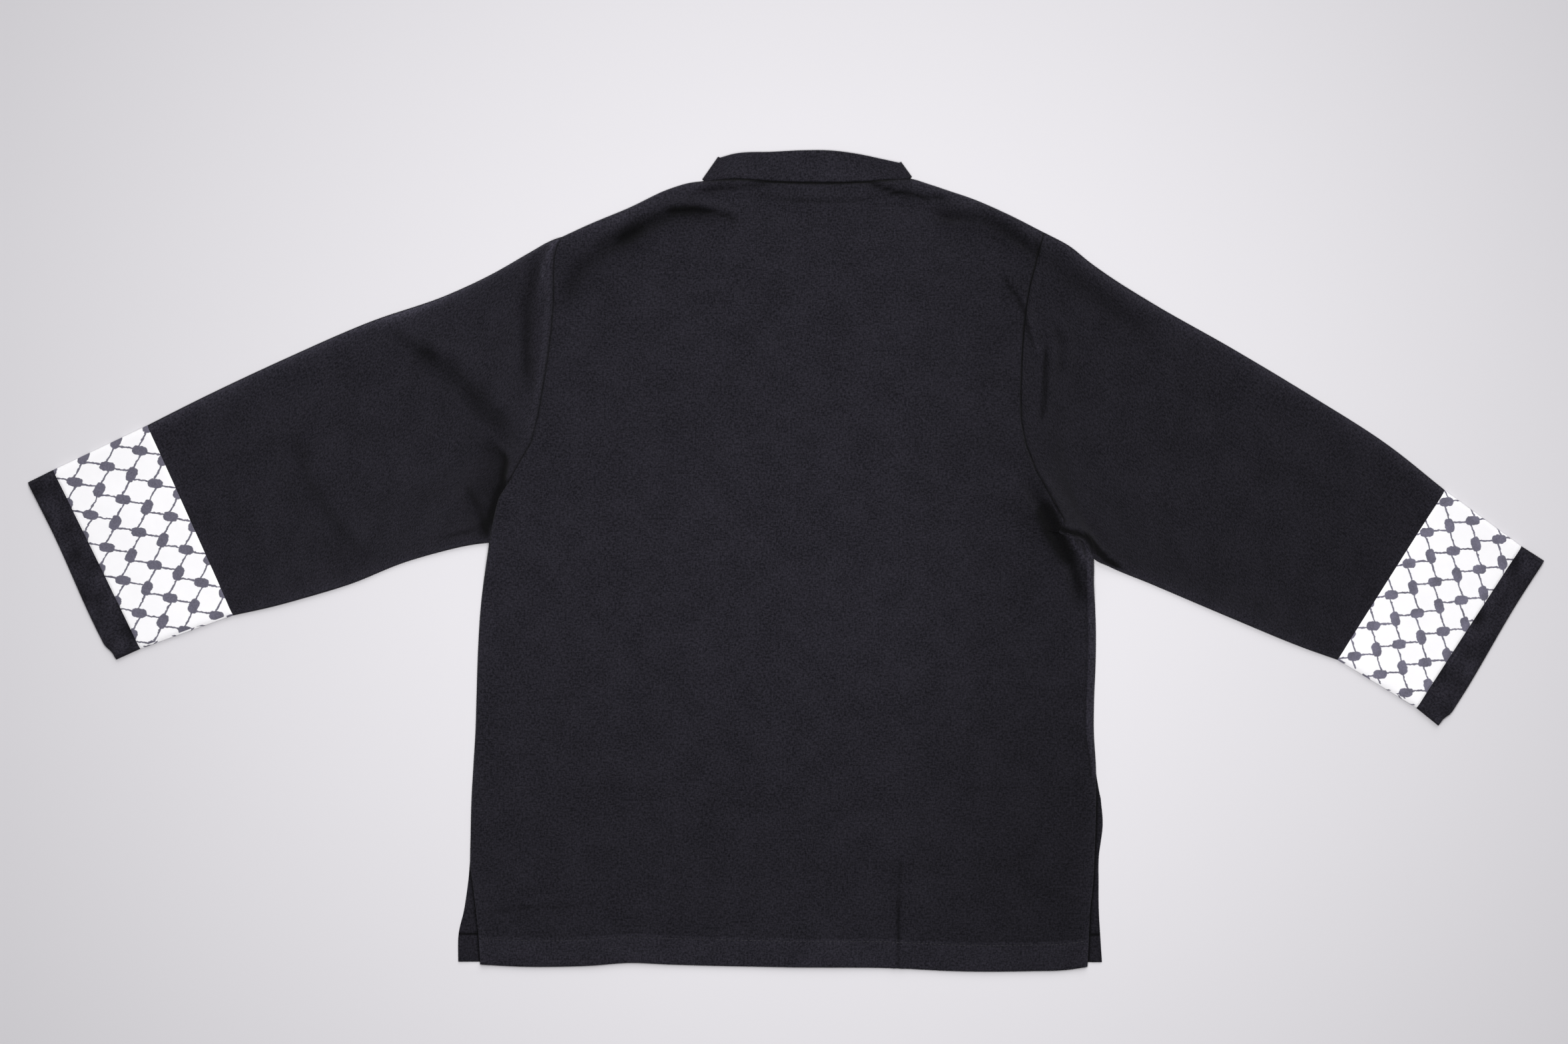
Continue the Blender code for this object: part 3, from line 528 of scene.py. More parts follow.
def upper_surface(x, y, piece):
    """Height of the top of the upper layer, and its shade."""
    neck_away = np.hypot((x - NECK_X) / (NECK_HALF_WIDTH + 14.0),
                         (y - NECK_LEVEL_Y) / (NECK_DEPTH + 14.0))
    lift = NECK_LIFT * (1.0 - ease((neck_away - 1.0) / 0.5)) + frog_lift(x, y, UPPER_LIFT)
    height, shade = crease(x, y, piece)
    lift = lift + height + 0.45 * (1.0 + waves(x, y, 190.0, 3)) + 0.16 * waves(x, y, 48.0, 5)
    collar_edge, _, _ = distance_to_path(x, y, collar_imprint())
    lift = lift + 0.8 * bell(collar_edge, 5.0)
    for side in ("left", "right"):
        away, along, _ = distance_to_path(x, y, armhole_path(side))
        lift = lift - bell(away, 0.9)
        # Painted shade in the seam's groove
        shade = shade + ARMHOLE_SHADE[side] * bell(away, 0.75)
        if piece == "sleeve":
            strip = ease((along - 0.12) * 6.0) * bell(away - 4.4, 2.8)
            lift = lift + ARMHOLE_RIDGE[side] * strip
            # Painted highlight on the left sleeve's raised strip, brightest at its top
            if side == "left":
                shade = shade - (0.42 + 0.3 * ease((along - 0.84) * 9.0)) * strip
    return UPPER + LAYER + lift, shade + tone(x, y)


def collar_imprint():
    """Where the collar's front halves press up through the back."""
    return [neck_curve(math.radians(angle), COLLAR_HEIGHT + 26.0) for angle in range(215, 330, 12)]


def neck_curve(angle, inset=0.0):
    """A point on the front neckline's ellipse, or inside it by the inset."""
    return (NECK_X + (NECK_HALF_WIDTH - inset) * math.cos(angle),
            NECK_LEVEL_Y + (NECK_DEPTH - inset) * math.sin(angle))


def along_collar(x):
    """1 where the collar stands on the back in its own shadow, easing to 0 past its ends."""
    return 1.0 - ease((np.abs(x - COLLAR_DARK_MIDDLE) - COLLAR_DARK_HALF) / 14.0)


def soft_roll(distance, height, reach):
    """Soft rise just inside a turned edge."""
    share = np.maximum(distance, 0.0) / reach
    return height * share * np.exp(1.0 - share)


# Meshes

def grid_normals(grid, wrapped):
    """Unit normals of a grid."""
    if wrapped:
        across = np.roll(grid, -1, axis=1) - np.roll(grid, 1, axis=1)
    else:
        across = np.gradient(grid, axis=1)
    normals = np.cross(across, np.gradient(grid, axis=0))
    return normals / np.maximum(np.linalg.norm(normals, axis=2, keepdims=True), 1e-9)


def add_object(name, data):
    """Put data into the scene as an object."""
    made = bpy.data.objects.new(name, data)
    bpy.context.scene.collection.objects.link(made)
    return made


def wall_faces(weave, rows, columns, wrapped):
    """Faces of a closed wall between a grid and its inner copy, and each corner's place in the weave."""
    spans = columns if wrapped else columns - 1
    i, j = np.meshgrid(np.arange(rows - 1), np.arange(spans), indexing="ij")
    i, j = i.ravel(), j.ravel()
    k = (j + 1) % columns
    inside = rows * columns

    def corners(*pairs):
        return np.stack([row * columns + column + layer for row, column, layer in pairs], axis=1)

    def maps(*pairs):
        return np.stack([weave[row, column] for row, column in pairs], axis=1)

    faces = [corners((i, j, 0), (i, k, 0), (i + 1, k, 0), (i + 1, j, 0)),
             corners((i, j, inside), (i + 1, j, inside), (i + 1, k, inside), (i, k, inside))]
    charts = [maps((i, j), (i, j + 1), (i + 1, j + 1), (i + 1, j)),
              maps((i, j), (i + 1, j), (i + 1, j + 1), (i, j + 1))]
    s = np.arange(spans)
    n = (s + 1) % columns
    for row, turned in ((0, False), (rows - 1, True)):
        edge = np.full(spans, row)
        quad = [(edge, n, 0), (edge, s, 0), (edge, s, inside), (edge, n, inside)]
        chart = [(edge, s + 1), (edge, s), (edge, s), (edge, s + 1)]
        faces.append(corners(*(quad[::-1] if turned else quad)))
        charts.append(maps(*(chart[::-1] if turned else chart)))
    if not wrapped:
        r = np.arange(rows - 1)
        for column, turned in ((0, False), (columns - 1, True)):
            edge = np.full(rows - 1, column)
            quad = [(r, edge, 0), (r + 1, edge, 0), (r + 1, edge, inside), (r, edge, inside)]
            chart = [(r, edge), (r + 1, edge), (r + 1, edge), (r, edge)]
            faces.append(corners(*(quad[::-1] if turned else quad)))
            charts.append(maps(*(chart[::-1] if turned else chart)))
    return np.concatenate(faces), np.concatenate(charts)


def shell(name, outer, weave, thickness, shade, finish=None, wrapped=False, turned_over=False):
    """A closed cloth wall whose outer side is the grid, with a weave map and a painted shade for each point.

    The wall is turned to face up, unless the grid is turned over on itself and already faces out.
    """
    rows, columns = outer.shape[:2]
    normals = grid_normals(outer, wrapped)
    top_columns = slice(0, columns // 2 if wrapped else columns)
    flip = not turned_over and normals[:, top_columns, 2].mean() < 0
    if flip:
        normals = -normals
    if wrapped:
        normals[outer[..., 2] < FLOOR_CLEAR + 0.001] = (0.0, 0.0, -1.0)
    inner = outer - normals * (thickness[..., None] if isinstance(thickness, np.ndarray) else thickness)
    places = np.concatenate([outer.reshape(-1, 3), inner.reshape(-1, 3)]) * MM
    faces, charts = wall_faces(weave, rows, columns, wrapped)
    if flip:
        faces = faces[:, ::-1]
        charts = charts[:, ::-1]
    data = bpy.data.meshes.new(name)
    data.from_pydata(places.tolist(), [], faces.tolist())
    layer = data.uv_layers.new(name="weave")
    layer.data.foreach_set("uv", charts.reshape(-1))
    depth = data.attributes.new("shade", "FLOAT", "POINT")
    depth.data.foreach_set("value", np.concatenate([shade.ravel(), shade.ravel()]))
    data.shade_smooth()
    data.set_sharp_from_angle(angle=math.radians(60))
    data.materials.append(finish or bpy.data.materials["black_cloth_finish"])
    return add_object(name, data)


def with_height(flat, height):
    """Give a flat grid its heights."""
    return np.concatenate([flat, np.broadcast_to(height, flat.shape[:2])[..., None]], axis=2)


def declare(piece, nodes):
    """Hide the CAD parts that a cloth piece stands for, and attach the piece to the body."""
    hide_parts(*nodes)
    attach(piece, BODY_NAME)


# Shader building

def tint(colour, strength=1.0):
    """A colour with its alpha, paler or darker by the strength."""
    return tuple(strength * part for part in colour) + (1.0,)


class Socket:
    """A shader value that takes Python's arithmetic."""

    def __init__(self, graph, link):
        self.graph = graph
        self.link = link

    def math(self, operation, *others):
        return self.graph.node("ShaderNodeMath", {"operation": operation}, dict(enumerate((self,) + others)))

    def __add__(self, other):
        return self.math("ADD", other)

    def __radd__(self, other):
        return self.math("ADD", other)

    def __sub__(self, other):
        return self.math("SUBTRACT", other)

    def __rsub__(self, other):
        return self.graph.node("ShaderNodeMath", {"operation": "SUBTRACT"}, {0: other, 1: self})

    def __mul__(self, other):
        return self.math("MULTIPLY", other)

    def __rmul__(self, other):
        return self.math("MULTIPLY", other)

    def __truediv__(self, other):
        return self.math("DIVIDE", other)

    def step(self, low, high):
        """Smooth step of this value between two levels."""
        return self.graph.node("ShaderNodeMapRange", {"interpolation_type": "SMOOTHSTEP"},
                               {"Value": self, "From Min": low, "From Max": high})


class Graph:
    """The nodes of one material."""

    def __init__(self, name, roughness, sheen, specular):
        self.material = bpy.data.materials.new(name)
        self.material.use_nodes = True
        self.tree = self.material.node_tree
        self.shader = self.tree.nodes["Principled BSDF"]
        self.shader.inputs["Roughness"].default_value = roughness
        self.shader.inputs["Sheen Weight"].default_value = sheen
        self.shader.inputs["Sheen Roughness"].default_value = 0.55
        self.shader.inputs["Specular IOR Level"].default_value = specular

    def node(self, kind, settings=None, inputs=None, output=0):
        """Add one node: its settings first, then its sockets' values or links."""
        made = self.tree.nodes.new(kind)
        for key, value in (settings or {}).items():
            setattr(made, key, value)
        for key, value in (inputs or {}).items():
            if isinstance(value, Socket):
                self.tree.links.new(value.link, made.inputs[key])
            else:
                made.inputs[key].default_value = value
        return Socket(self, made.outputs[output])

    def mix(self, factor, first, second):
        """Blend two colours."""
        return self.node("ShaderNodeMix", {"data_type": "RGBA"}, {0: factor, 6: first, 7: second}, output=2)

    def noise(self, vector, scale, detail=2.0, roughness=0.5):
        """Noise between 0 and 1."""
        return self.node("ShaderNodeTexNoise", None,
                         {"Vector": vector, "Scale": scale, "Detail": detail, "Roughness": roughness})

    def yarn(self, vector, along, across, detail=2.0):
        """Noise that is scaled on its own along each thread direction."""
        scaled = self.node("ShaderNodeVectorMath", {"operation": "MULTIPLY"},
                           {0: vector, 1: (along, across, 1.0)})
        return self.noise(scaled, 1.0, detail)

    def axes(self, vector):
        """A vector's first two parts."""
        return [self.node("ShaderNodeSeparateXYZ", None, {0: vector}, output=axis) for axis in (0, 1)]

    def object_place(self):
        """The place on the object."""
        return self.node("ShaderNodeTexCoord", output=3)

    def drive(self, name, value):
        """Link a value to the surface shader."""
        self.tree.links.new(value.link, self.shader.inputs[name])

    def bump(self, height, distance):
        """Turn a height into a normal."""
        return self.node("ShaderNodeBump", None, {"Height": height, "Distance": distance, "Strength": 1.0})


def weave_bump(graph, place, pitch, depth):
    """Crossing threads with slubs, as a normal."""
    u, v = graph.axes(place)
    slub = graph.yarn(place, 260.0, 1500.0)
    slub_across = graph.yarn(place, 1500.0, 260.0)
    turn = 2.0 * math.pi / pitch
    warp = (u * turn + slub * 2.0).math("SINE")
    weft = (v * turn + slub_across * 2.0).math("SINE")
    fuzz = graph.yarn(place, 2600.0, 2600.0, 3.0)
    height = warp * weft * 0.5 + slub * 0.7 + slub_across * 0.7 + fuzz * 0.5
    return graph.bump(height, depth)


def black_cloth():
    """Heathered black cloth: dark yarns with paler fibres, matt, darkened by painted shade in its creases and
    seams and paled by painted highlights on its edges.
    """
    colours = bpy.context.scene.jacket_colours
    sizes = bpy.context.scene.jacket_sizes
    graph = Graph("black_cloth_finish", 0.93, sizes.sheen, 0.06)
    place = graph.node("ShaderNodeUVMap", {"uv_map": "weave"})
    shade = graph.node("ShaderNodeAttribute", {"attribute_name": "shade"}, output=2)
    warp_yarn = graph.yarn(place, 1300.0, 210.0)
    weft_yarn = graph.yarn(place, 210.0, 1300.0)
    heather = (warp_yarn + weft_yarn - 0.78).step(0.0, 0.5)
    speckle = graph.noise(place, 520.0, 2.0, 0.6).step(0.3, 0.7)
    cloud = graph.noise(place, 34.0, 4.0, 0.62).step(0.28, 0.72)
    fleck = graph.yarn(place, 900.0, 900.0, 1.0).step(0.64, 0.74)
    blotch = graph.noise(place, 11.0, 2.0)
    paleness = heather * 0.4 + speckle * 0.62 + cloud * 0.2 + blotch * 0.16 + fleck * 0.2 - 0.24
    colour = graph.mix(paleness, tint(colours.cloth_dark), tint(colours.cloth_pale))
    # The shade attribute scales the colour: painted shade darkens it, painted highlight pales it
    light = 1.0 - shade * 0.88
    colour = graph.node("ShaderNodeVectorMath", {"operation": "SCALE"}, {0: colour, "Scale": light})
    graph.drive("Base Color", colour)
    graph.drive("Roughness", 0.9 + 0.06 * cloud)
    graph.drive("Normal", weave_bump(graph, place, sizes.thread, sizes.weave_depth))
    return graph.material


def net_masks(graph, place, net):
    """Where the net's knots and its wavy lines lie, from 0 to 1."""
    wobble = graph.noise(place, 330.0, 2.0) - 0.5
    elsewhere = graph.node("ShaderNodeVectorMath", {"operation": "ADD"}, {0: place, 1: (3.1, 5.7, 0.0)})
    wobble_across = graph.noise(elsewhere, 330.0, 2.0) - 0.5
    u, v = graph.axes(place)
    turn = math.radians(net.turn)
    u = u - net.first_along * MM
    v = v - net.first_across * MM
    p = (u * math.cos(turn) + v * math.sin(turn)) * (1.0 / MM / net.along)
    q = (v * math.cos(turn) - u * math.sin(turn)) * (1.0 / MM / net.across)
    q = q - ((p - BOW_MIDDLE) * (math.pi / BOW_REPEATS)).math("SINE") * (net.bow / net.across)
    s = p - q + wobble * 0.1
    t = p + q + wobble_across * 0.1
    s_near = (s + 0.5).math("FLOOR")
    t_near = (t + 0.5).math("FLOOR")
    ds = s - s_near
    dt = t - t_near
    odd = ((s_near + t_near) * 0.5).math("FRACT").math("GREATER_THAN", 0.25)

    def blob(x, y, lean, long, short):
        along = (x * math.cos(lean) + y * math.sin(lean)) / long
        aside = (y * math.cos(lean) - x * math.sin(lean)) / short
        reach = along.math("ABSOLUTE").math("POWER", 3.1) + aside.math("ABSOLUTE").math("POWER", 2.7)
        return 1.0 - reach.step(0.82, 1.12)

    lying = blob(ds, dt, math.radians(-13), 0.305, 0.185)
    standing = blob(dt + 0.03, ds, math.radians(-9), 0.30, 0.20)
    knots = lying * (1.0 - odd) + standing * odd

    def swing(run, lean, bend):
        """How far a line strays from its row: it leans all the way and steps back at every other knot."""
        return (run * 0.5).math("FRACT") * (2.0 * lean) - lean + (run * math.pi).math("SINE") * bend

    # Whole repeats keep both runs above 0, one odd and one even, so the rows step at their own knots
    first = (dt + swing(s - t_near + 63.0, 0.19, 0.05)).math("ABSOLUTE")
    second = (ds + swing(t - s_near + 64.0, 0.145, 0.055)).math("ABSOLUTE")
    thin = 0.027 + wobble * 0.035
    second_line = 1.0 - (second - thin).step(0.0, 0.016)
    lines = (1.0 - (first - thin).step(0.0, 0.016)).math("MAXIMUM", second_line)
    return knots, lines


def band_cloth(side):
    """White cloth with the woven net of dark knots and wavy lines."""
    colours = bpy.context.scene.jacket_colours
    sizes = bpy.context.scene.jacket_sizes
    graph = Graph("band_cloth_" + side, 0.88, 0.1, 0.3)
    place = graph.node("ShaderNodeUVMap", {"uv_map": "weave"})
    knots, lines = net_masks(graph, place, NET[side])
    cloud = graph.noise(place, 60.0, 2.0)
    thread = graph.yarn(place, 1500.0, 300.0, 1.0)
    print_wear = graph.noise(place, 75.0, 1.0).step(0.3, 0.7)
    grain = graph.noise(place, 620.0, 2.0).step(0.3, 0.7)
    white = graph.mix(cloud, tint(colours.band_white), tint(colours.band_white, 0.965))
    ink = graph.mix(thread * 0.3 + grain * 0.3 + print_wear * 0.4 * NET_WEAR[side] + NET_WEAR[side] * 0.1,
                    tint(colours.net_ink, 0.55), tint(colours.net_ink, 2.0))
    cover = (knots * 0.97).math("MAXIMUM", lines * (0.8 + thread * 0.3))
    graph.drive("Base Color", graph.mix(cover, white, ink))
    graph.drive("Normal", weave_bump(graph, place, sizes.thread, sizes.weave_depth))
    return graph.material


def cord_cloth():
    """Rolled black cloth cord."""
    colours = bpy.context.scene.jacket_colours
    graph = Graph("frog_cord_finish", 0.85, 0.1, 0.3)
    place = graph.object_place()
    yarn = graph.noise(place, 1400.0, 2.0)
    graph.drive("Base Color", graph.mix(yarn, tint(colours.cloth_dark), tint(colours.cloth_pale)))
    graph.drive("Normal", graph.bump(yarn, 0.0002))
    return graph.material


def thread_finish():
    """Sewing thread, a little paler than the cloth."""
    colours = bpy.context.scene.jacket_colours
    graph = Graph("thread_finish", 0.6, 0.0, 0.4)
    place = graph.object_place()
    twist = graph.noise(place, 3000.0, 1.0)
    graph.drive("Base Color", graph.mix(twist, tint(colours.thread), tint(colours.thread, 1.6)))
    return graph.material


# Pieces

def edge_at(side, rows):
    """The back's edge at fractional rows of its table."""
    return hermite(np.arange(len(BODY)), side_points(BODY, side), rows)


def body_rows(step):
    """Fractional rows of the body's table, a step apart."""
    run = (lengths_along(side_points(BODY, "left")) + lengths_along(side_points(BODY, "right"))) / 2.0
    return np.interp(spaced(run[-1], step, HEM_STEPS) * run[-1], run, np.arange(len(BODY)))


def back_sides(height, shade, rows, from_left, from_right, y):
    """Roll the back's sides, tuck them at the underarms, sew the right seam and turn the slits in."""
    left = ease((rows - SLIT_TOP["left"] + 0.6) / 1.2) * (1.0 - ease((rows - UNDERARM + 0.5) / 1.0))
    right = ease((rows - SLIT_TOP["right"] + 0.6) / 1.2) * (1.0 - ease((rows - UNDERARM + 3.6) / 1.2))
    underarm = ease((rows - UNDERARM + 3.6) / 1.2) * (1.0 - ease((rows - UNDERARM + 0.2) / 0.3))
    tucked = ease((rows - UNDERARM + 0.5) / 1.0) * (1.0 - ease((rows - LEFT_TUCK_END + 0.2) / 0.8))
    height = height + left * soft_roll(from_left, 1.3, 8.0) + right * soft_roll(from_right, 1.5, 8.0)
    for share, distance in ((left, from_left), (right, from_right)):
        height = height - (height - ROLLED_EDGE_HEIGHT) * share * round_off(distance, 2.6)
    height = height - 2.2 * tucked * round_off(from_left, 3.0) - underarm * round_off(from_right, 1.4)
    pucker = np.sin(y * 0.42 + 1.2 * np.sin(y * 0.13)) * bell(y + 28.0, 34.0)
    height = height + 0.35 * right * pucker * bell(from_right - 5.0, 5.0)
    seam_line = 8.4 - 4.0 * ease((-150.0 - y) / 60.0)
    seam_here = ((rows > SLIT_TOP["right"]) & (rows < UNDERARM - 0.8)).astype(float)
    side_seam = bell(from_right - seam_line, 0.9) * seam_here
    height = height - 0.7 * side_seam
    # Painted shade in the right side seam, and a painted highlight on the strip between seam and edge
    shade = shade + 0.85 * side_seam - 0.6 * (1.0 - ease(from_right - seam_line)) * seam_here
    for side, distance in (("left", from_left), ("right", from_right)):
        slit = 1.0 - ease((rows - SLIT_TOP[side] + 0.4) / 0.8)
        turned_in = 0.5 * (1.0 - ease((distance - SLIT_HEM_DEPTH + 1.0) / 1.5))
        height = height + slit * (turned_in - 0.9 * round_off(distance, 1.4))
    return height, shade


def back_hem(height, shade, x, y, from_hem):
    """Turn the hem up, with its sewn line and its rounded lower edge."""
    ripple = 0.5 + 0.5 * waves(x, y * 0.2, 120.0, 21)
    hem_cloth = 1.0 - ease((from_hem - HEM_DEPTH + 1.0) / 2.0)
    height = height + 0.55 * hem_cloth * (0.8 + 0.4 * ripple)
    height = height - 0.35 * bell(from_hem - HEM_DEPTH + HEM_THREAD_IN, 1.1)
    height = height - (1.3 + 0.6 * ripple) * round_off(from_hem, 1.8)
    # Painted shade just above the hem's top fold; the turned-up hem is drawn paler
    return height, shade + 0.1 * bell(from_hem - HEM_DEPTH - 1.0, 1.2) - 0.28 * hem_cloth


def back_top(height, shade, x, from_top):
    """Roll the shoulders, and sew the back to the collar between them."""
    at_neck = 1.0 - ease((np.abs(x - NECK_X) - NECK_HALF_WIDTH - 1.0) / 4.0)
    roll = soft_roll(from_top, 1.4, 8.0) - (height - ROLLED_EDGE_HEIGHT) * round_off(from_top, 2.6)
    height = height + (1.0 - at_neck) * roll
    neck_seam = bell(from_top, 1.9) * at_neck
    height = height - 1.6 * neck_seam + 0.6 * at_neck * soft_roll(from_top, 1.0, 5.0)
    # Painted highlight along the shoulders, and the collar's painted shadow on the seam under it
    edge_highlight = SHOULDER_HIGHLIGHT * (1.0 - at_neck) * np.exp(-from_top / 7.0)
    return height, shade + 1.5 * neck_seam * along_collar(x) - edge_highlight


def make_back():
    """The back: hem, slits, rolled sides, shoulders and the creases over them."""
    step = bpy.context.scene.jacket_sizes.grid / MM
    rows = body_rows(step)
    left, right = edge_at("left", rows), edge_at("right", rows)
    up = (lengths_along(left) + lengths_along(right)) / 2.0
    up = up / up[-1]
    width = np.linalg.norm(right - left, axis=1)[:, None]
    across = spaced(float(width.max()), step, SIDE_STEPS)
    bottom, top = smooth_curve(HEM_LINE, across), smooth_curve(SHOULDER_LINE, across)
    flat = patch(left, right, bottom, top, across, up)
    x, y = flat[..., 0], flat[..., 1]
    from_left, from_right = width * across, width * (1.0 - across)
    from_hem = np.linalg.norm(flat - flat[:1], axis=2)
    from_top = np.linalg.norm(flat - flat[-1:], axis=2)
    height, shade = upper_surface(x, y, "body")
    height, shade = back_sides(height, shade, rows[:, None], from_left, from_right, y)
    height, shade = back_hem(height, shade, x, y, from_hem)
    height, shade = back_top(height, shade, x, from_top)
    # Painted highlight along the back's sides below the underarms
    edge_highlight = SIDE_HIGHLIGHT * (1.0 - ease((rows[:, None] - UNDERARM + 1.0) / 2.0))
    shade = shade - edge_highlight * (np.exp(-from_left / 5.0) + np.exp(-from_right / 5.0))
    thickness = CLOTH + 0.6 * (1.0 - ease((from_hem - HEM_DEPTH) / 2.0))
    piece = shell("back_cloth", with_height(flat, height), flat * MM, thickness, np.clip(shade, -1.2, 1.0))
    declare(piece, ["back"])
    return piece


def front_edge(side, rows):
    """A front's outer edge: the flap at the slit, then inside the back's edge."""
    slit = hermite(np.arange(len(FLAPS)), side_points(FLAPS, side), np.minimum(rows, len(FLAPS) - 1))
    open_rows = (1.0 - ease((rows - SLIT_TOP[side]) / 1.0))[:, None]
    tucked = edge_at(side, rows) - np.array([OUTWARD[side] * 1.9, 0.0])
    return open_rows * slit + (1.0 - open_rows) * tucked


def front_grid(side, rows, step):
    """A front's flat grid, from its outer edge across to the centre front."""
    outer = front_edge(side, rows)
    up = lengths_along(outer)
    up = up / up[-1]
    high = NECK_LEVEL_Y - NECK_DEPTH
    low_x, high_x = centre_front(FRONT_HEM_Y), centre_front(high)
    centre = np.stack([low_x + (high_x - low_x) * up + 0.1 * OUTWARD[side],
                       FRONT_HEM_Y + (high - FRONT_HEM_Y) * up], axis=1)
    corner_x = NECK_X + OUTWARD[side] * (NECK_HALF_WIDTH + NECK_CORNER)
    line = np.array(SHOULDER_LINE)
    shoulder = [(place, float(np.interp(place, line[:, 0], line[:, 1])) - 1.2)
                for place in np.linspace(outer[-1, 0], corner_x, 12)]
    angles = np.radians(np.linspace(188 if side == "left" else 352, 270, 22))
    neck = [neck_curve(angle) for angle in angles]
    path = np.array([tuple(outer[-1])] + shoulder[1:] + neck[:-1] + [tuple(centre[-1])])
    run = lengths_along(path)
    across = spaced(float(run[-1]), step, FLAP_STEPS)
    top = np.stack([np.interp(across, run / run[-1], path[:, axis]) for axis in (0, 1)], axis=1)
    bottom = outer[0] + (centre[0] - outer[0]) * across[:, None]
    return patch(outer, centre, bottom, top, across, up)


def make_front(side):
    """A front panel under the back, with its hem, its neckline and the lift over the frogs."""
    step = bpy.context.scene.jacket_sizes.grid / MM * 1.5
    rows = body_rows(step)
    flat = front_grid(side, rows, step)
    x, y = flat[..., 0], flat[..., 1]
    lift, shade = crease(x, y, "lower")
    height = FRONT_HEIGHT + np.minimum(lift, 0.0) + frog_lift(x, y, LOWER_LIFT)
    from_hem = np.linalg.norm(flat - flat[:1], axis=2)
    distance = np.linalg.norm(flat - flat[:, :1], axis=2)
    height = height + 0.3 * (1.0 - ease((from_hem - HEM_DEPTH + 1.0) / 2.0))
    height = height - 0.5 * round_off(from_hem, 1.2) - 0.5 * round_off(distance, 1.2)
    height = height - 0.2 * bell(from_hem - HEM_DEPTH + HEM_THREAD_IN, 1.2)
    slit = 1.0 - ease((rows[:, None] - SLIT_TOP[side]) / 0.8)
    height = height + 0.25 * slit * (1.0 - ease((distance - SLIT_HEM_DEPTH) / 1.5))
    beyond_back = (x - edge_at(side, rows)[:, :1]) * OUTWARD[side]
    # Painted shadow on the flaps under the back's edge and along their hem's fold
    under_edge = bell(beyond_back - 0.3, 1.5) * slit
    hem_fold = bell(from_hem - HEM_DEPTH + 1.0, 1.1) * (beyond_back > 0.0)
    shade = 0.5 * shade + under_edge + 1.2 * hem_fold + tone(x, y)
    name = "front_" + side
    piece = shell(name + "_cloth", with_height(flat, height), flat * MM, CLOTH, np.clip(shade, -1.0, 1.0))
    declare(piece, [name])
    return piece


def tube(flat, high, low=FLOOR_CLEAR, arc=6):
    """A flattened tube's ring of points from its grid, columns from lower to upper edge.

    The ring runs over the top from the lower edge to the upper edge and back underneath.
    Returns the ring grid and each point's distance round the tube from the upper fold.
    """
    rows, columns = flat.shape[:2]
    inner = flat
    folds = []
    for column, beside in ((0, 1), (-1, -2)):
        edge = flat[:, column][:, None]
        radius = (high[:, column][:, None] - low) / 2.0
        outward = edge - flat[:, beside][:, None]
        outward = outward / np.linalg.norm(outward, axis=2, keepdims=True)
        shift = np.maximum(radius - np.linalg.norm(flat - edge, axis=2) / 4.0, 0.0)
        inner = inner - outward * shift[..., None]
        folds.append((column, outward[:, 0], radius))
    bends = []
    for column, outward, radius in folds:
        points = [np.concatenate([inner[:, column] + outward * radius * math.cos(turn),
                                  low + radius * (1.0 + math.sin(turn))], axis=1)
                  for turn in np.radians(np.linspace(90, -90, arc + 2)[1:-1])]
        bends.append(np.stack(points, axis=1))
    top = with_height(inner, high)
    under = with_height(inner, np.full(high.shape, low))[:, ::-1]
    ring = np.concatenate([top, bends[1], under, bends[0][:, ::-1]], axis=1)
    closed = np.concatenate([ring, ring[:, :1]], axis=1)
    steps = np.linalg.norm(np.diff(closed, axis=1), axis=2)
    round_run = np.concatenate([np.zeros((rows, 1)), np.cumsum(steps, axis=1)], axis=1)
    fold = round_run[:, columns - 1:columns] + math.pi * folds[1][2] / 2.0
    return ring, fold - round_run


def tube_shell(name, flat, height, run, shade, thickness=CLOTH, finish=None, weave_turned=False):
    """A tube's wall, with painted shade on its upper side. Its weave runs along it, or round it if turned."""
    ring, round_place = tube(flat, height)
    weave = [np.broadcast_to(run, round_place.shape) * MM, round_place * MM]
    if weave_turned:
        weave.reverse()
    all_shade = np.zeros(ring.shape[:2])
    all_shade[:, :flat.shape[1]] = shade
    return shell(name + "_cloth", ring, np.stack(weave, axis=2), thickness, all_shade, finish, wrapped=True)


def sleeve_flat(side, step):
    """A sleeve's flat grid, its places along and across, and its length."""
    rows = np.linspace(UNDERARM, len(BODY) - 1, 12)
    run = lengths_along(edge_at(side, rows))
    across = spaced(float(run[-1]), step)
    fine_rows = np.interp(across, run / run[-1], rows)
    armhole = edge_at(side, fine_rows)
    if side == "left":
        armhole[:, 0] += 6.0 * (1.0 - ease((fine_rows - LEFT_TUCK_END + 1.0) / 1.4))
    armhole[:, 0] -= OUTWARD[side] * 0.1
    top = [tuple(armhole[-1])] + [tuple(point) for point in SLEEVE_TOP[side]]
    bottom = [tuple(armhole[0])] + [tuple(point) for point in SLEEVE_BOTTOM[side]]
    if side == "right":
        bottom[:5] = UNDERARM_TUCK
    length = float(lengths_along(top)[-1])
    along = spaced(length, step)
    upper, lower = smooth_curve(top, along), smooth_curve(bottom, along)
    share = lengths_along(armhole) / lengths_along(armhole)[-1]
    band = lower[-1] + (upper[-1] - lower[-1]) * share[:, None]
    return patch(lower, upper, armhole, band, share, along), share, along, length


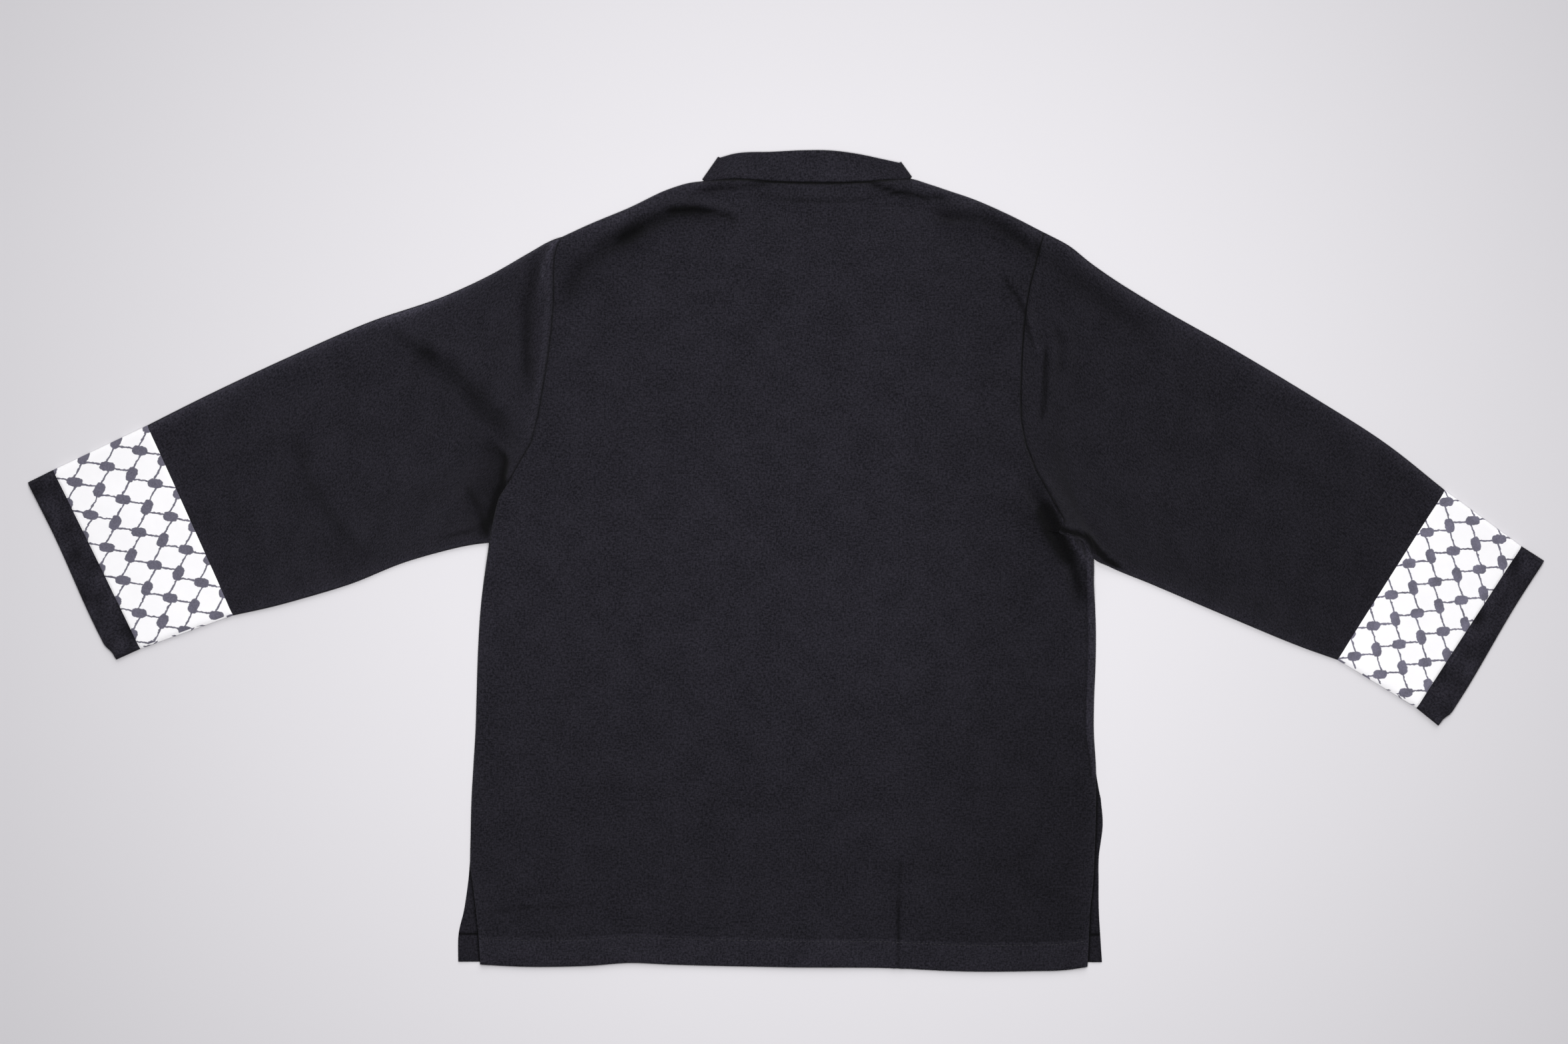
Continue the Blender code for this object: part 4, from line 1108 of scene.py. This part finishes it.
def make_sleeve(side):
    """A sleeve, one tube from armhole to band."""
    sizes = bpy.context.scene.jacket_sizes
    flat, across, along, length = sleeve_flat(side, sizes.grid / MM * 1.05)
    x, y = flat[..., 0], flat[..., 1]
    width = np.linalg.norm(flat[:, -1] - flat[:, 0], axis=1)[:, None]
    height, shade = upper_surface(x, y, "sleeve")
    from_low, from_high = width * across, width * (1.0 - across)
    height = height + soft_roll(from_low, 1.2, 7.0) + soft_roll(from_high, 1.4, 8.0)
    run = along[:, None] * length
    # Painted highlights along the sleeve's upper and lower edges and beside the band, brighter near the left
    # sleeve's top
    edge_highlight = SLEEVE_HIGHLIGHT[side] * np.exp(-from_high / 6.5) + 0.9 * np.exp(-from_low / 4.5)
    edge_highlight = edge_highlight + (0.35 + 0.35 * waves(x, y, 24.0, 37)) * np.exp((run - length) / 4.0)
    if side == "left":
        # Where the sleeve runs under the back's edge it drops, with painted shade
        hidden = (1.0 - ease((run - 4.0) / 12.0)) * (1.0 - ease((from_low - 48.0) / 16.0))
        height = height - (height - UPPER - LAYER) * hidden
        shade = shade + 0.75 * hidden
        edge_highlight = edge_highlight + 1.3 * bell(x + 350.0, 42.0) * bell(from_high, 8.0)
    else:
        # A crease above the sleeve's lower edge near the underarm, with painted shade in it
        depth = 4.6 * ease((run - 18.0) / 12.0)
        crease_low = bell(from_low - depth, 2.4) * (1.0 - ease((run - 52.0) / 22.0))
        height = height - 1.3 * crease_low
        shade = shade + 0.3 * crease_low
    # A dip at the band's seam, with painted shade in it
    at_band = bell(length - run, 1.3)
    height = height - 0.5 * at_band + 0.35 * soft_roll(length - run, 1.0, 4.0)
    shade = np.clip(shade + 0.2 * at_band - edge_highlight, -2.6, 1.0)
    name = "sleeve_" + side
    piece = tube_shell(name, flat, height, run, shade)
    declare(piece, [name])
    return piece


def straight_ring(start, end, step, base_height, edge_dip, bow=0.0):
    """Flat grid, top height and run of a straight tube between seams with a lower and an upper end.

    The far end can bow out, most near its lower corner.
    """
    start, end = np.asarray(start, float), np.asarray(end, float)
    width = np.linalg.norm(start[1] - start[0])
    length = float(np.linalg.norm(end.mean(axis=0) - start.mean(axis=0)))
    across = spaced(float(width), step)
    along = spaced(length, step, RING_STEPS)
    lower = start[0] + (end[0] - start[0]) * along[:, None]
    upper = start[1] + (end[1] - start[1]) * along[:, None]
    flat = lower[:, None] + (upper - lower)[:, None] * across[None, :, None]
    outward = (end.mean(axis=0) - start.mean(axis=0)) / length
    swell = bow * ease((0.8 - across) / 0.64) * ease((across - 0.03) / 0.07)
    flat = flat + outward * swell[None, :, None] * along[:, None, None]
    widths = np.linalg.norm(upper - lower, axis=1)[:, None]
    x, y = flat[..., 0], flat[..., 1]
    run = along[:, None] * length
    height = base_height + 0.35 * (1.0 + waves(x, y, 90.0, 8)) + 0.12 * waves(x, y, 30.0, 9)
    height = height + soft_roll(widths * across, 0.9, 6.0) + soft_roll(widths * (1 - across), 0.9, 6.0)
    near_seam = np.minimum(run, length - run)
    height = height - edge_dip * bell(near_seam, 1.1) + 0.3 * soft_roll(near_seam, 1.0, 3.5)
    return flat, height, run


def seam_between(seam):
    """Lower and upper end of a seam in the table."""
    return np.array([(seam.base_x, seam.base_y), (seam.top_x, seam.top_y)])


def make_band(side):
    """The white band between the sleeve and the cuff edging."""
    sizes = bpy.context.scene.jacket_sizes
    start = np.array([tuple(SLEEVE_BOTTOM[side][-1]), tuple(SLEEVE_TOP[side][-1])])
    flat, height, run = straight_ring(start, seam_between(BAND_OUTER[side]), sizes.grid / MM,
                                      BAND_HEIGHT, 0.5)
    name = "band_" + side
    piece = tube_shell(name, flat, height, run, 0.0, finish=band_cloth(side), weave_turned=True)
    declare(piece, [name])
    return piece


def make_cuff(side):
    """The doubled black edging round the sleeve's end."""
    sizes = bpy.context.scene.jacket_sizes
    flat, height, run = straight_ring(seam_between(BAND_OUTER[side]), seam_between(CUFF_OUTER[side]),
                                      sizes.grid / MM, CUFF_HEIGHT, 0.6, CUFF_BOW)
    height = height - 0.4 * round_off(run.max() - run, 1.2)
    # Painted shade at the band seam, and patches of painted light and shade as from puckers that the surface
    # does not have; the whole cuff is drawn a little paler
    shade = 0.3 * bell(run, 1.2) + 0.55 * waves(flat[..., 0], flat[..., 1], 24.0, 31) - 0.16
    name = "cuff_" + side
    piece = tube_shell(name, flat, height, run, shade, CUFF_CLOTH)
    declare(piece, [name])
    return piece


def collar_fold(sign):
    """Base and top of the collar where it folds over, on the left for -1 and on the right for 1."""
    end = 0 if sign < 0 else -1
    return np.array(COLLAR_BASE[end]), np.array(COLLAR_TOP[end])


def collar_front(sign):
    """Base and top of each station of one front half, from the fold to the centre front."""
    fold_base, fold_top = collar_fold(sign)
    rows = []
    for angle in np.linspace(4.0, COLLAR_MEETING_ANGLE, 46):
        turned = math.radians(180.0 + angle if sign < 0 else 360.0 - angle)
        base = np.array(neck_curve(turned, 0.4))
        top = np.array(neck_curve(turned, 0.4 + COLLAR_HEIGHT))
        blend = float(ease((angle - 4.0) / 44.0))
        rows.append((base, base + (fold_top - fold_base) * (1.0 - blend) + (top - base) * blend))
    return rows


def collar_stations():
    """Base, top, height and outward direction of the collar's cloth, from one front end to the other."""
    lower_mid = COLLAR_CLOTH / 2.0
    upper_mid = 3.0 * COLLAR_CLOTH / 2.0 + GAP
    fold_radius = (upper_mid - lower_mid) / 2.0

    def fold_half(sign, turns):
        base, top = collar_fold(sign)
        return [(base, top, lower_mid + fold_radius * (1.0 + math.sin(turn)),
                 (math.cos(turn), math.sin(turn)), sign) for turn in turns]

    turns = np.radians(np.linspace(-90, 70, 9))
    places = np.linspace(0.004, 0.996, 74)
    seam_tuck = np.array([0.0, -1.0])
    stations = [(base, top, lower_mid, (0.0, -1.0), -1) for base, top in reversed(collar_front(-1))]
    stations += fold_half(-1, turns)
    stations += [(base + seam_tuck, top, upper_mid, (0.0, 1.0), 0)
                 for base, top in zip(smooth_curve(COLLAR_BASE, places), smooth_curve(COLLAR_TOP, places))]
    stations += fold_half(1, turns[::-1])
    stations += [(base, top, lower_mid, (0.0, -1.0), 1) for base, top in collar_front(1)]
    return stations, fold_radius


def make_collar():
    """The stand collar: a doubled strip round the neck, folded over at both sides."""
    stations, fold_radius = collar_stations()
    shares = spaced(COLLAR_HEIGHT, 1.8, COLLAR_STEPS)
    seam_run = shares * COLLAR_HEIGHT
    edge = np.minimum(seam_run, COLLAR_HEIGHT - seam_run)
    grid = []
    for base, top, height, (aside, upward), sign in stations:
        line = top - base
        outward = np.array([line[1], -line[0]]) / np.linalg.norm(line) * (-1.0 if sign < 0 else 1.0)
        flat = base + line * shares[:, None] + outward * aside * (fold_radius + COLLAR_CLOTH / 2.0)
        rise = height + upward * COLLAR_CLOTH / 2.0 + np.zeros(len(shares))
        if upward < -0.5:
            rise = rise + frog_lift(flat[:, 0], flat[:, 1], LOWER_LIFT)
        else:
            soft = 0.35 * waves(flat[:, 0], flat[:, 1], 70.0, 15) + 0.3
            soft = soft - 0.8 * round_off(edge, 1.3) + 0.5 * soft_roll(edge, 1.0, 4.0)
            rise = rise + max(upward, 0.0) * soft
        grid.append(np.concatenate([flat, rise[:, None]], axis=1))
    grid = np.array(grid)
    run = lengths_along(grid[:, len(shares) // 2])
    weave = np.stack(np.broadcast_arrays(run[:, None] * MM, seam_run * MM), axis=2)
    # Painted shadow along the collar's seam, deepest where it stands on the back; the collar is drawn a
    # little paler overall
    shade = 0.35 * bell(seam_run, 1.8) + 1.3 * along_collar(grid[:, :1, 0]) * bell(seam_run, 0.8) - 0.14
    shade = np.minimum(shade, 1.0)
    middle = slice(grid.shape[0] // 2 - 10, grid.shape[0] // 2 + 10)
    if grid_normals(grid, False)[middle, :, 2].mean() < 0:
        grid, weave, shade = grid[::-1], weave[::-1], shade[::-1]
    piece = shell("collar_cloth", grid, weave, COLLAR_CLOTH - 0.2, shade, turned_over=True)
    declare(piece, ["collar"])
    return piece


def stitches(name, path_points, surface, length, gap, radius):
    """A row of thread stitches along a path, joined as one mesh, each dipping in at its ends."""
    run = lengths_along(path_points)
    pitch = length + gap
    count = int(run[-1] // pitch)
    sides = 5
    places = np.array([-0.5, -0.3, 0.0, 0.3, 0.5]) * length
    lifts = np.array([-0.5, 0.55, 0.8, 0.55, -0.5]) * radius
    sizes = np.array([0.35, 0.9, 1.0, 0.9, 0.35]) * radius
    vertices, faces = [], []
    for index in range(count):
        centre = (index + 0.5) * pitch + 0.25 * math.sin(index * 2.4)
        at = centre + places
        x = np.interp(at, run, path_points[:, 0])
        y = np.interp(at, run, path_points[:, 1])
        z = surface(x, y)
        ahead = np.array([x[-1] - x[0], y[-1] - y[0]])
        ahead = ahead / np.linalg.norm(ahead)
        aside = np.array([-ahead[1], ahead[0]])
        base = len(vertices)
        for ring in range(len(places)):
            for turn in range(sides):
                angle = 2 * math.pi * turn / sides
                offset = aside * math.cos(angle) * sizes[ring]
                vertices.append(((x[ring] + offset[0]) * MM, (y[ring] + offset[1]) * MM,
                                 (z[ring] + lifts[ring] + math.sin(angle) * sizes[ring] * 0.8) * MM))
        for ring in range(len(places) - 1):
            for turn in range(sides):
                following = (turn + 1) % sides
                faces.append((base + ring * sides + turn, base + ring * sides + following,
                              base + (ring + 1) * sides + following, base + (ring + 1) * sides + turn))
        faces.append(tuple(base + turn for turn in reversed(range(sides))))
        faces.append(tuple(base + (len(places) - 1) * sides + turn for turn in range(sides)))
    data = bpy.data.meshes.new(name)
    data.from_pydata(vertices, [], faces)
    tidy = bmesh.new()
    tidy.from_mesh(data)
    bmesh.ops.recalc_face_normals(tidy, faces=tidy.faces)
    tidy.to_mesh(data)
    tidy.free()
    data.shade_smooth()
    data.materials.append(bpy.data.materials["thread_finish"])
    made = add_object(name, data)
    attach(made, BODY_NAME)
    return made


def surface_reader(piece):
    """A function that reads the height of a piece's top at places in millimetres."""
    tree_mesh = bmesh.new()
    tree_mesh.from_mesh(piece.data)
    tree = BVHTree.FromBMesh(tree_mesh)
    tree_mesh.free()

    def read(x, y):
        heights = []
        for place_x, place_y in zip(x, y):
            hit = tree.ray_cast((place_x * MM, place_y * MM, 0.1), (0.0, 0.0, -1.0))
            heights.append(hit[0].z / MM if hit[0] is not None else 3.0)
        return np.array(heights)

    return read


# Frogs

def cord_along(name, points, radius, closed=False):
    """A cord through the given points, made with the curve tools and turned into a mesh."""
    bpy.ops.object.select_all(action="DESELECT")
    bpy.ops.curve.primitive_nurbs_path_add(location=(0.0, 0.0, 0.0))
    made = bpy.context.object
    made.name = name
    curve = made.data
    curve.splines.clear()
    spline = curve.splines.new("NURBS")
    spline.points.add(len(points) - 1)
    for item, point in zip(spline.points, points):
        item.co = (point[0] * MM, point[1] * MM, point[2] * MM, 1.0)
    spline.order_u = 4
    spline.use_cyclic_u = closed
    spline.use_endpoint_u = not closed
    curve.resolution_u = 4
    curve.bevel_depth = radius * MM
    curve.bevel_resolution = 3
    curve.use_fill_caps = not closed
    bpy.ops.object.convert(target="MESH")
    made = bpy.context.object
    made.data.name = name
    return made


def join(name, pieces):
    """Join pieces into one object."""
    bpy.ops.object.select_all(action="DESELECT")
    for piece in pieces:
        piece.select_set(True)
    bpy.context.view_layer.objects.active = pieces[0]
    bpy.ops.object.join()
    made = bpy.context.object
    made.name = name
    made.data.name = name
    bpy.ops.object.shade_smooth()
    return made


def frog_place(centre, tilt, points):
    """Turn points of a frog's own plane to lie square to the centre front."""
    cosine, sine = math.cos(tilt), math.sin(tilt)
    return [(centre[0] + x * cosine - y * sine, centre[1] + x * sine + y * cosine, z) for x, y, z in points]


def frog_cords(start, end):
    """The two cords of a frog's bar, side by side and joined round its far end."""
    sign = 1.0 if end > start else -1.0
    radius = FROG_THICK / 2.0
    cord = [(start, 1.0), (start + (end - start) * 0.5, 1.0),
            (end - sign * 3.0, 1.05), (end - sign * 0.8, 0.9)]
    way_back = [(x, -share) for x, share in reversed(cord)]
    return [(x, radius * share, radius) for x, share in cord + [(end - sign * 0.1, 0.0)] + way_back]


def loop_cord(eye):
    """A frog's loop round the knot, whose two ends run on side by side as its bar."""
    radius = FROG_THICK / 2.0
    arc = [(5.5 * math.cos(turn), 5.5 * math.sin(turn), radius)
           for turn in np.radians(np.linspace(325, 35, 14))]
    bar = frog_cords(eye + 3.0, eye + FROG_BAR_LENGTH)
    return (bar[4:] + [(eye + 0.5, -radius * 1.05, radius)] + arc + [(eye + 0.5, radius * 1.05, radius)]
            + bar[:5])


def knot_points(count=72):
    """A ball knot's strand, wound round its button."""
    points = []
    for index in range(count):
        turn = 2 * math.pi * index / count
        reach = 2.35 + 0.95 * math.cos(4 * turn)
        points.append((reach * math.cos(3 * turn), reach * math.sin(3 * turn),
                       FROG_THICK / 2.0 + 0.75 * math.sin(4 * turn)))
    return points


def make_frogs():
    """Five straight frogs: knot and bar on one front, loop and bar on the other."""
    tilt = -math.atan2(NECK_X - HEM_X, NECK_LEVEL_Y - NECK_DEPTH - FRONT_HEM_Y)
    finish = bpy.data.materials["frog_cord_finish"]
    radius = FROG_THICK / 2.0
    eye = KNOT_RADIUS + GAP + LOOP_WALL
    for index in range(FROG_PAIRS):
        number = str(index + 1)
        y = FROG_FIRST_Y - FROG_STEP * index
        centre = (float(centre_front(y)), y)
        knot = cord_along("knot_strand", frog_place(centre, tilt, knot_points()), 0.95, closed=True)
        bpy.ops.mesh.primitive_uv_sphere_add(segments=20, ring_count=12, radius=2.6 * MM,
                                             location=(centre[0] * MM, centre[1] * MM, radius * MM))
        core = bpy.context.object
        core.scale = (1.0, 1.0, 0.5)
        bpy.ops.object.transform_apply(location=True, rotation=True, scale=True)
        button = join("frog_knot_" + number + "_cord", [knot, core])
        bar_points = frog_cords(-KNOT_RADIUS - 0.2, -eye - GAP - FROG_BAR_LENGTH)
        bar = cord_along("frog_bar_" + number + "_cord", frog_place(centre, tilt, bar_points), radius)
        loop = cord_along("frog_loop_" + number + "_cord", frog_place(centre, tilt, loop_cord(eye)),
                          radius * 0.92)
        for piece, node in ((button, "frog_knot_"), (bar, "frog_bar_"), (loop, "frog_loop_")):
            piece.data.materials.clear()
            piece.data.materials.append(finish)
            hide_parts(node + number)
            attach(piece, BODY_NAME)


# Stage

def make_stage():
    """A pale floor, soft light from above and behind the collar, and the camera straight above."""
    colours = bpy.context.scene.jacket_colours
    bpy.ops.object.select_all(action="DESELECT")
    bpy.ops.mesh.primitive_plane_add(size=FLOOR_SIZE, location=(0.0, 0.0, 0.0))
    floor = bpy.context.object
    floor.name = "floor"
    graph = Graph("floor_finish", 0.9, 0.0, 0.1)
    cloud = graph.noise(graph.object_place(), 3.0, 2.0)
    graph.drive("Base Color", graph.mix(cloud, tint(colours.floor), tint(colours.floor, 0.985)))
    floor.data.materials.append(graph.material)

    pool = bpy.data.lights.new("overhead", "AREA")
    pool.shape = "DISK"
    pool.size = LAMP_SIZE
    pool.energy = LAMP_POWER
    lamp = add_object("overhead", pool)
    lamp.location = LAMP_PLACE
    lamp.visible_camera = False

    window = bpy.data.lights.new("behind_collar", "SUN")
    window.energy = SUN_STRENGTH
    window.angle = math.radians(SUN_SPREAD)
    lamp = add_object("behind_collar", window)
    lamp.rotation_euler = Vector(SUN_AIM).to_track_quat("-Z", "Y").to_euler()

    world = bpy.data.worlds.new("studio")
    world.use_nodes = True
    back = world.node_tree.nodes["Background"]
    back.inputs["Color"].default_value = ROOM_COLOUR
    back.inputs["Strength"].default_value = ROOM_STRENGTH
    bpy.context.scene.world = world
    bpy.context.scene.view_settings.view_transform = "Standard"

    data = bpy.data.cameras.new("camera")
    data.sensor_width = SENSOR_WIDTH
    data.sensor_fit = "HORIZONTAL"
    data.lens = SENSOR_WIDTH * VIEW_HEIGHT / (PHOTO_PIXEL * PHOTO_COLUMNS)
    camera = add_object("camera", data)
    camera.location = VIEW_CENTRE + (VIEW_HEIGHT,)
    bpy.context.scene.camera = camera


# Add-on

class JacketSizes(bpy.types.PropertyGroup):
    """Sizes that shape the cloth's surface."""

    grid: bpy.props.FloatProperty(name="Grid", description="Spacing of the cloth's mesh", default=0.0036,
                                  min=0.001, unit="LENGTH")
    thread: bpy.props.FloatProperty(name="Thread", description="Spacing of the woven threads",
                                    default=0.00085, min=0.0002, unit="LENGTH")
    weave_depth: bpy.props.FloatProperty(name="Weave depth", description="Height of the weave's relief",
                                         default=0.00022, min=0.0, unit="LENGTH")
    stitch: bpy.props.FloatProperty(name="Stitch", description="Length of one stitch", default=0.0028,
                                    min=0.001, unit="LENGTH")
    sheen: bpy.props.FloatProperty(name="Sheen", description="Pale fuzz at grazing angles", default=0.035,
                                   min=0.0, max=1.0, subtype="FACTOR")


class JacketColours(bpy.types.PropertyGroup):
    """Colours of the cloth, the net, the thread and the floor."""

    cloth_dark: bpy.props.FloatVectorProperty(name="Cloth, dark yarn",
                                              description="The black cloth's dark yarn",
                                              subtype="COLOR", size=3, default=(0.0050, 0.0047, 0.0069))
    cloth_pale: bpy.props.FloatVectorProperty(name="Cloth, pale fibre",
                                              description="The black cloth's pale fibre",
                                              subtype="COLOR", size=3, default=(0.0246, 0.0229, 0.0312))
    band_white: bpy.props.FloatVectorProperty(name="Band white", description="The bands' ground",
                                              subtype="COLOR", size=3, default=(0.975, 0.965, 0.985))
    net_ink: bpy.props.FloatVectorProperty(name="Net", description="The net's knots and lines",
                                           subtype="COLOR", size=3, default=(0.088, 0.083, 0.120))
    thread: bpy.props.FloatVectorProperty(name="Thread", description="The sewing thread",
                                          subtype="COLOR", size=3, default=(0.024, 0.023, 0.026))
    floor: bpy.props.FloatVectorProperty(name="Floor", description="The pale floor",
                                         subtype="COLOR", size=3, default=(0.62, 0.608, 0.632))


class JACKET_OT_stage(bpy.types.Operator):
    """Add the floor, the lights and the camera"""
    bl_idname = "jacket.stage"
    bl_label = "Stage"

    def execute(self, context):
        make_stage()
        return {"FINISHED"}


class JACKET_OT_finishes(bpy.types.Operator):
    """Make the cloth, cord and thread materials"""
    bl_idname = "jacket.finishes"
    bl_label = "Finishes"

    def execute(self, context):
        black_cloth()
        cord_cloth()
        thread_finish()
        return {"FINISHED"}


class JACKET_OT_body(bpy.types.Operator):
    """Add the two fronts and the back that lies on them"""
    bl_idname = "jacket.body"
    bl_label = "Back and fronts"

    def execute(self, context):
        for side in ("left", "right"):
            make_front(side)
        make_back()
        return {"FINISHED"}


class JACKET_OT_sleeves(bpy.types.Operator):
    """Add the sleeves, their white bands and their cuffs"""
    bl_idname = "jacket.sleeves"
    bl_label = "Sleeves"

    def execute(self, context):
        for side in ("left", "right"):
            make_sleeve(side)
            make_band(side)
            make_cuff(side)
        return {"FINISHED"}


class JACKET_OT_collar(bpy.types.Operator):
    """Add the stand collar"""
    bl_idname = "jacket.collar"
    bl_label = "Collar"

    def execute(self, context):
        make_collar()
        return {"FINISHED"}


class JACKET_OT_stitching(bpy.types.Operator):
    """Add the rows of stitches along the hems"""
    bl_idname = "jacket.stitching"
    bl_label = "Stitching"

    def execute(self, context):
        length = context.scene.jacket_sizes.stitch / MM
        back = bpy.data.objects["back_cloth"]
        hem = smooth_curve(HEM_LINE, np.linspace(0.0, 1.0, 120))
        line = hem + np.array([0.0, HEM_DEPTH - HEM_THREAD_IN])
        line = line[(line[:, 0] > -285.0) & (line[:, 0] < 281.0)]
        surface = surface_reader(back)
        stitches("hem_stitching_left", line[line[:, 0] < -70.0], surface, length, 1.3, 0.12)
        stitches("hem_stitching_right", line[line[:, 0] > -70.0], surface, length, 1.1, 0.17)
        return {"FINISHED"}


class JACKET_OT_frogs(bpy.types.Operator):
    """Add the straight frogs that close the fronts"""
    bl_idname = "jacket.frogs"
    bl_label = "Frogs"

    def execute(self, context):
        make_frogs()
        return {"FINISHED"}


class JACKET_PT_panel(bpy.types.Panel):
    """Sizes, colours and pieces of the jacket"""
    bl_label = "Jacket"
    bl_idname = "JACKET_PT_panel"
    bl_space_type = "VIEW_3D"
    bl_region_type = "UI"
    bl_category = "Jacket"

    def draw(self, context):
        for group in (context.scene.jacket_sizes, context.scene.jacket_colours):
            for name in group.bl_rna.properties.keys():
                if name not in ("rna_type", "name"):
                    self.layout.prop(group, name)
        for operator in OPERATORS:
            self.layout.operator(operator.bl_idname)


OPERATORS = (JACKET_OT_stage, JACKET_OT_finishes, JACKET_OT_body, JACKET_OT_sleeves, JACKET_OT_collar,
             JACKET_OT_stitching, JACKET_OT_frogs)
CLASSES = (JacketSizes, JacketColours) + OPERATORS + (JACKET_PT_panel,)


def register():
    for item in CLASSES:
        bpy.utils.register_class(item)
    bpy.types.Scene.jacket_sizes = bpy.props.PointerProperty(type=JacketSizes)
    bpy.types.Scene.jacket_colours = bpy.props.PointerProperty(type=JacketColours)


def unregister():
    del bpy.types.Scene.jacket_colours
    del bpy.types.Scene.jacket_sizes
    for item in reversed(CLASSES):
        bpy.utils.unregister_class(item)


def main():
    """Run every operator in order."""
    register()
    bpy.ops.jacket.stage()
    bpy.ops.jacket.finishes()
    bpy.ops.jacket.body()
    bpy.ops.jacket.sleeves()
    bpy.ops.jacket.collar()
    bpy.ops.jacket.stitching()
    bpy.ops.jacket.frogs()


if __name__ == "__main__":
    main()
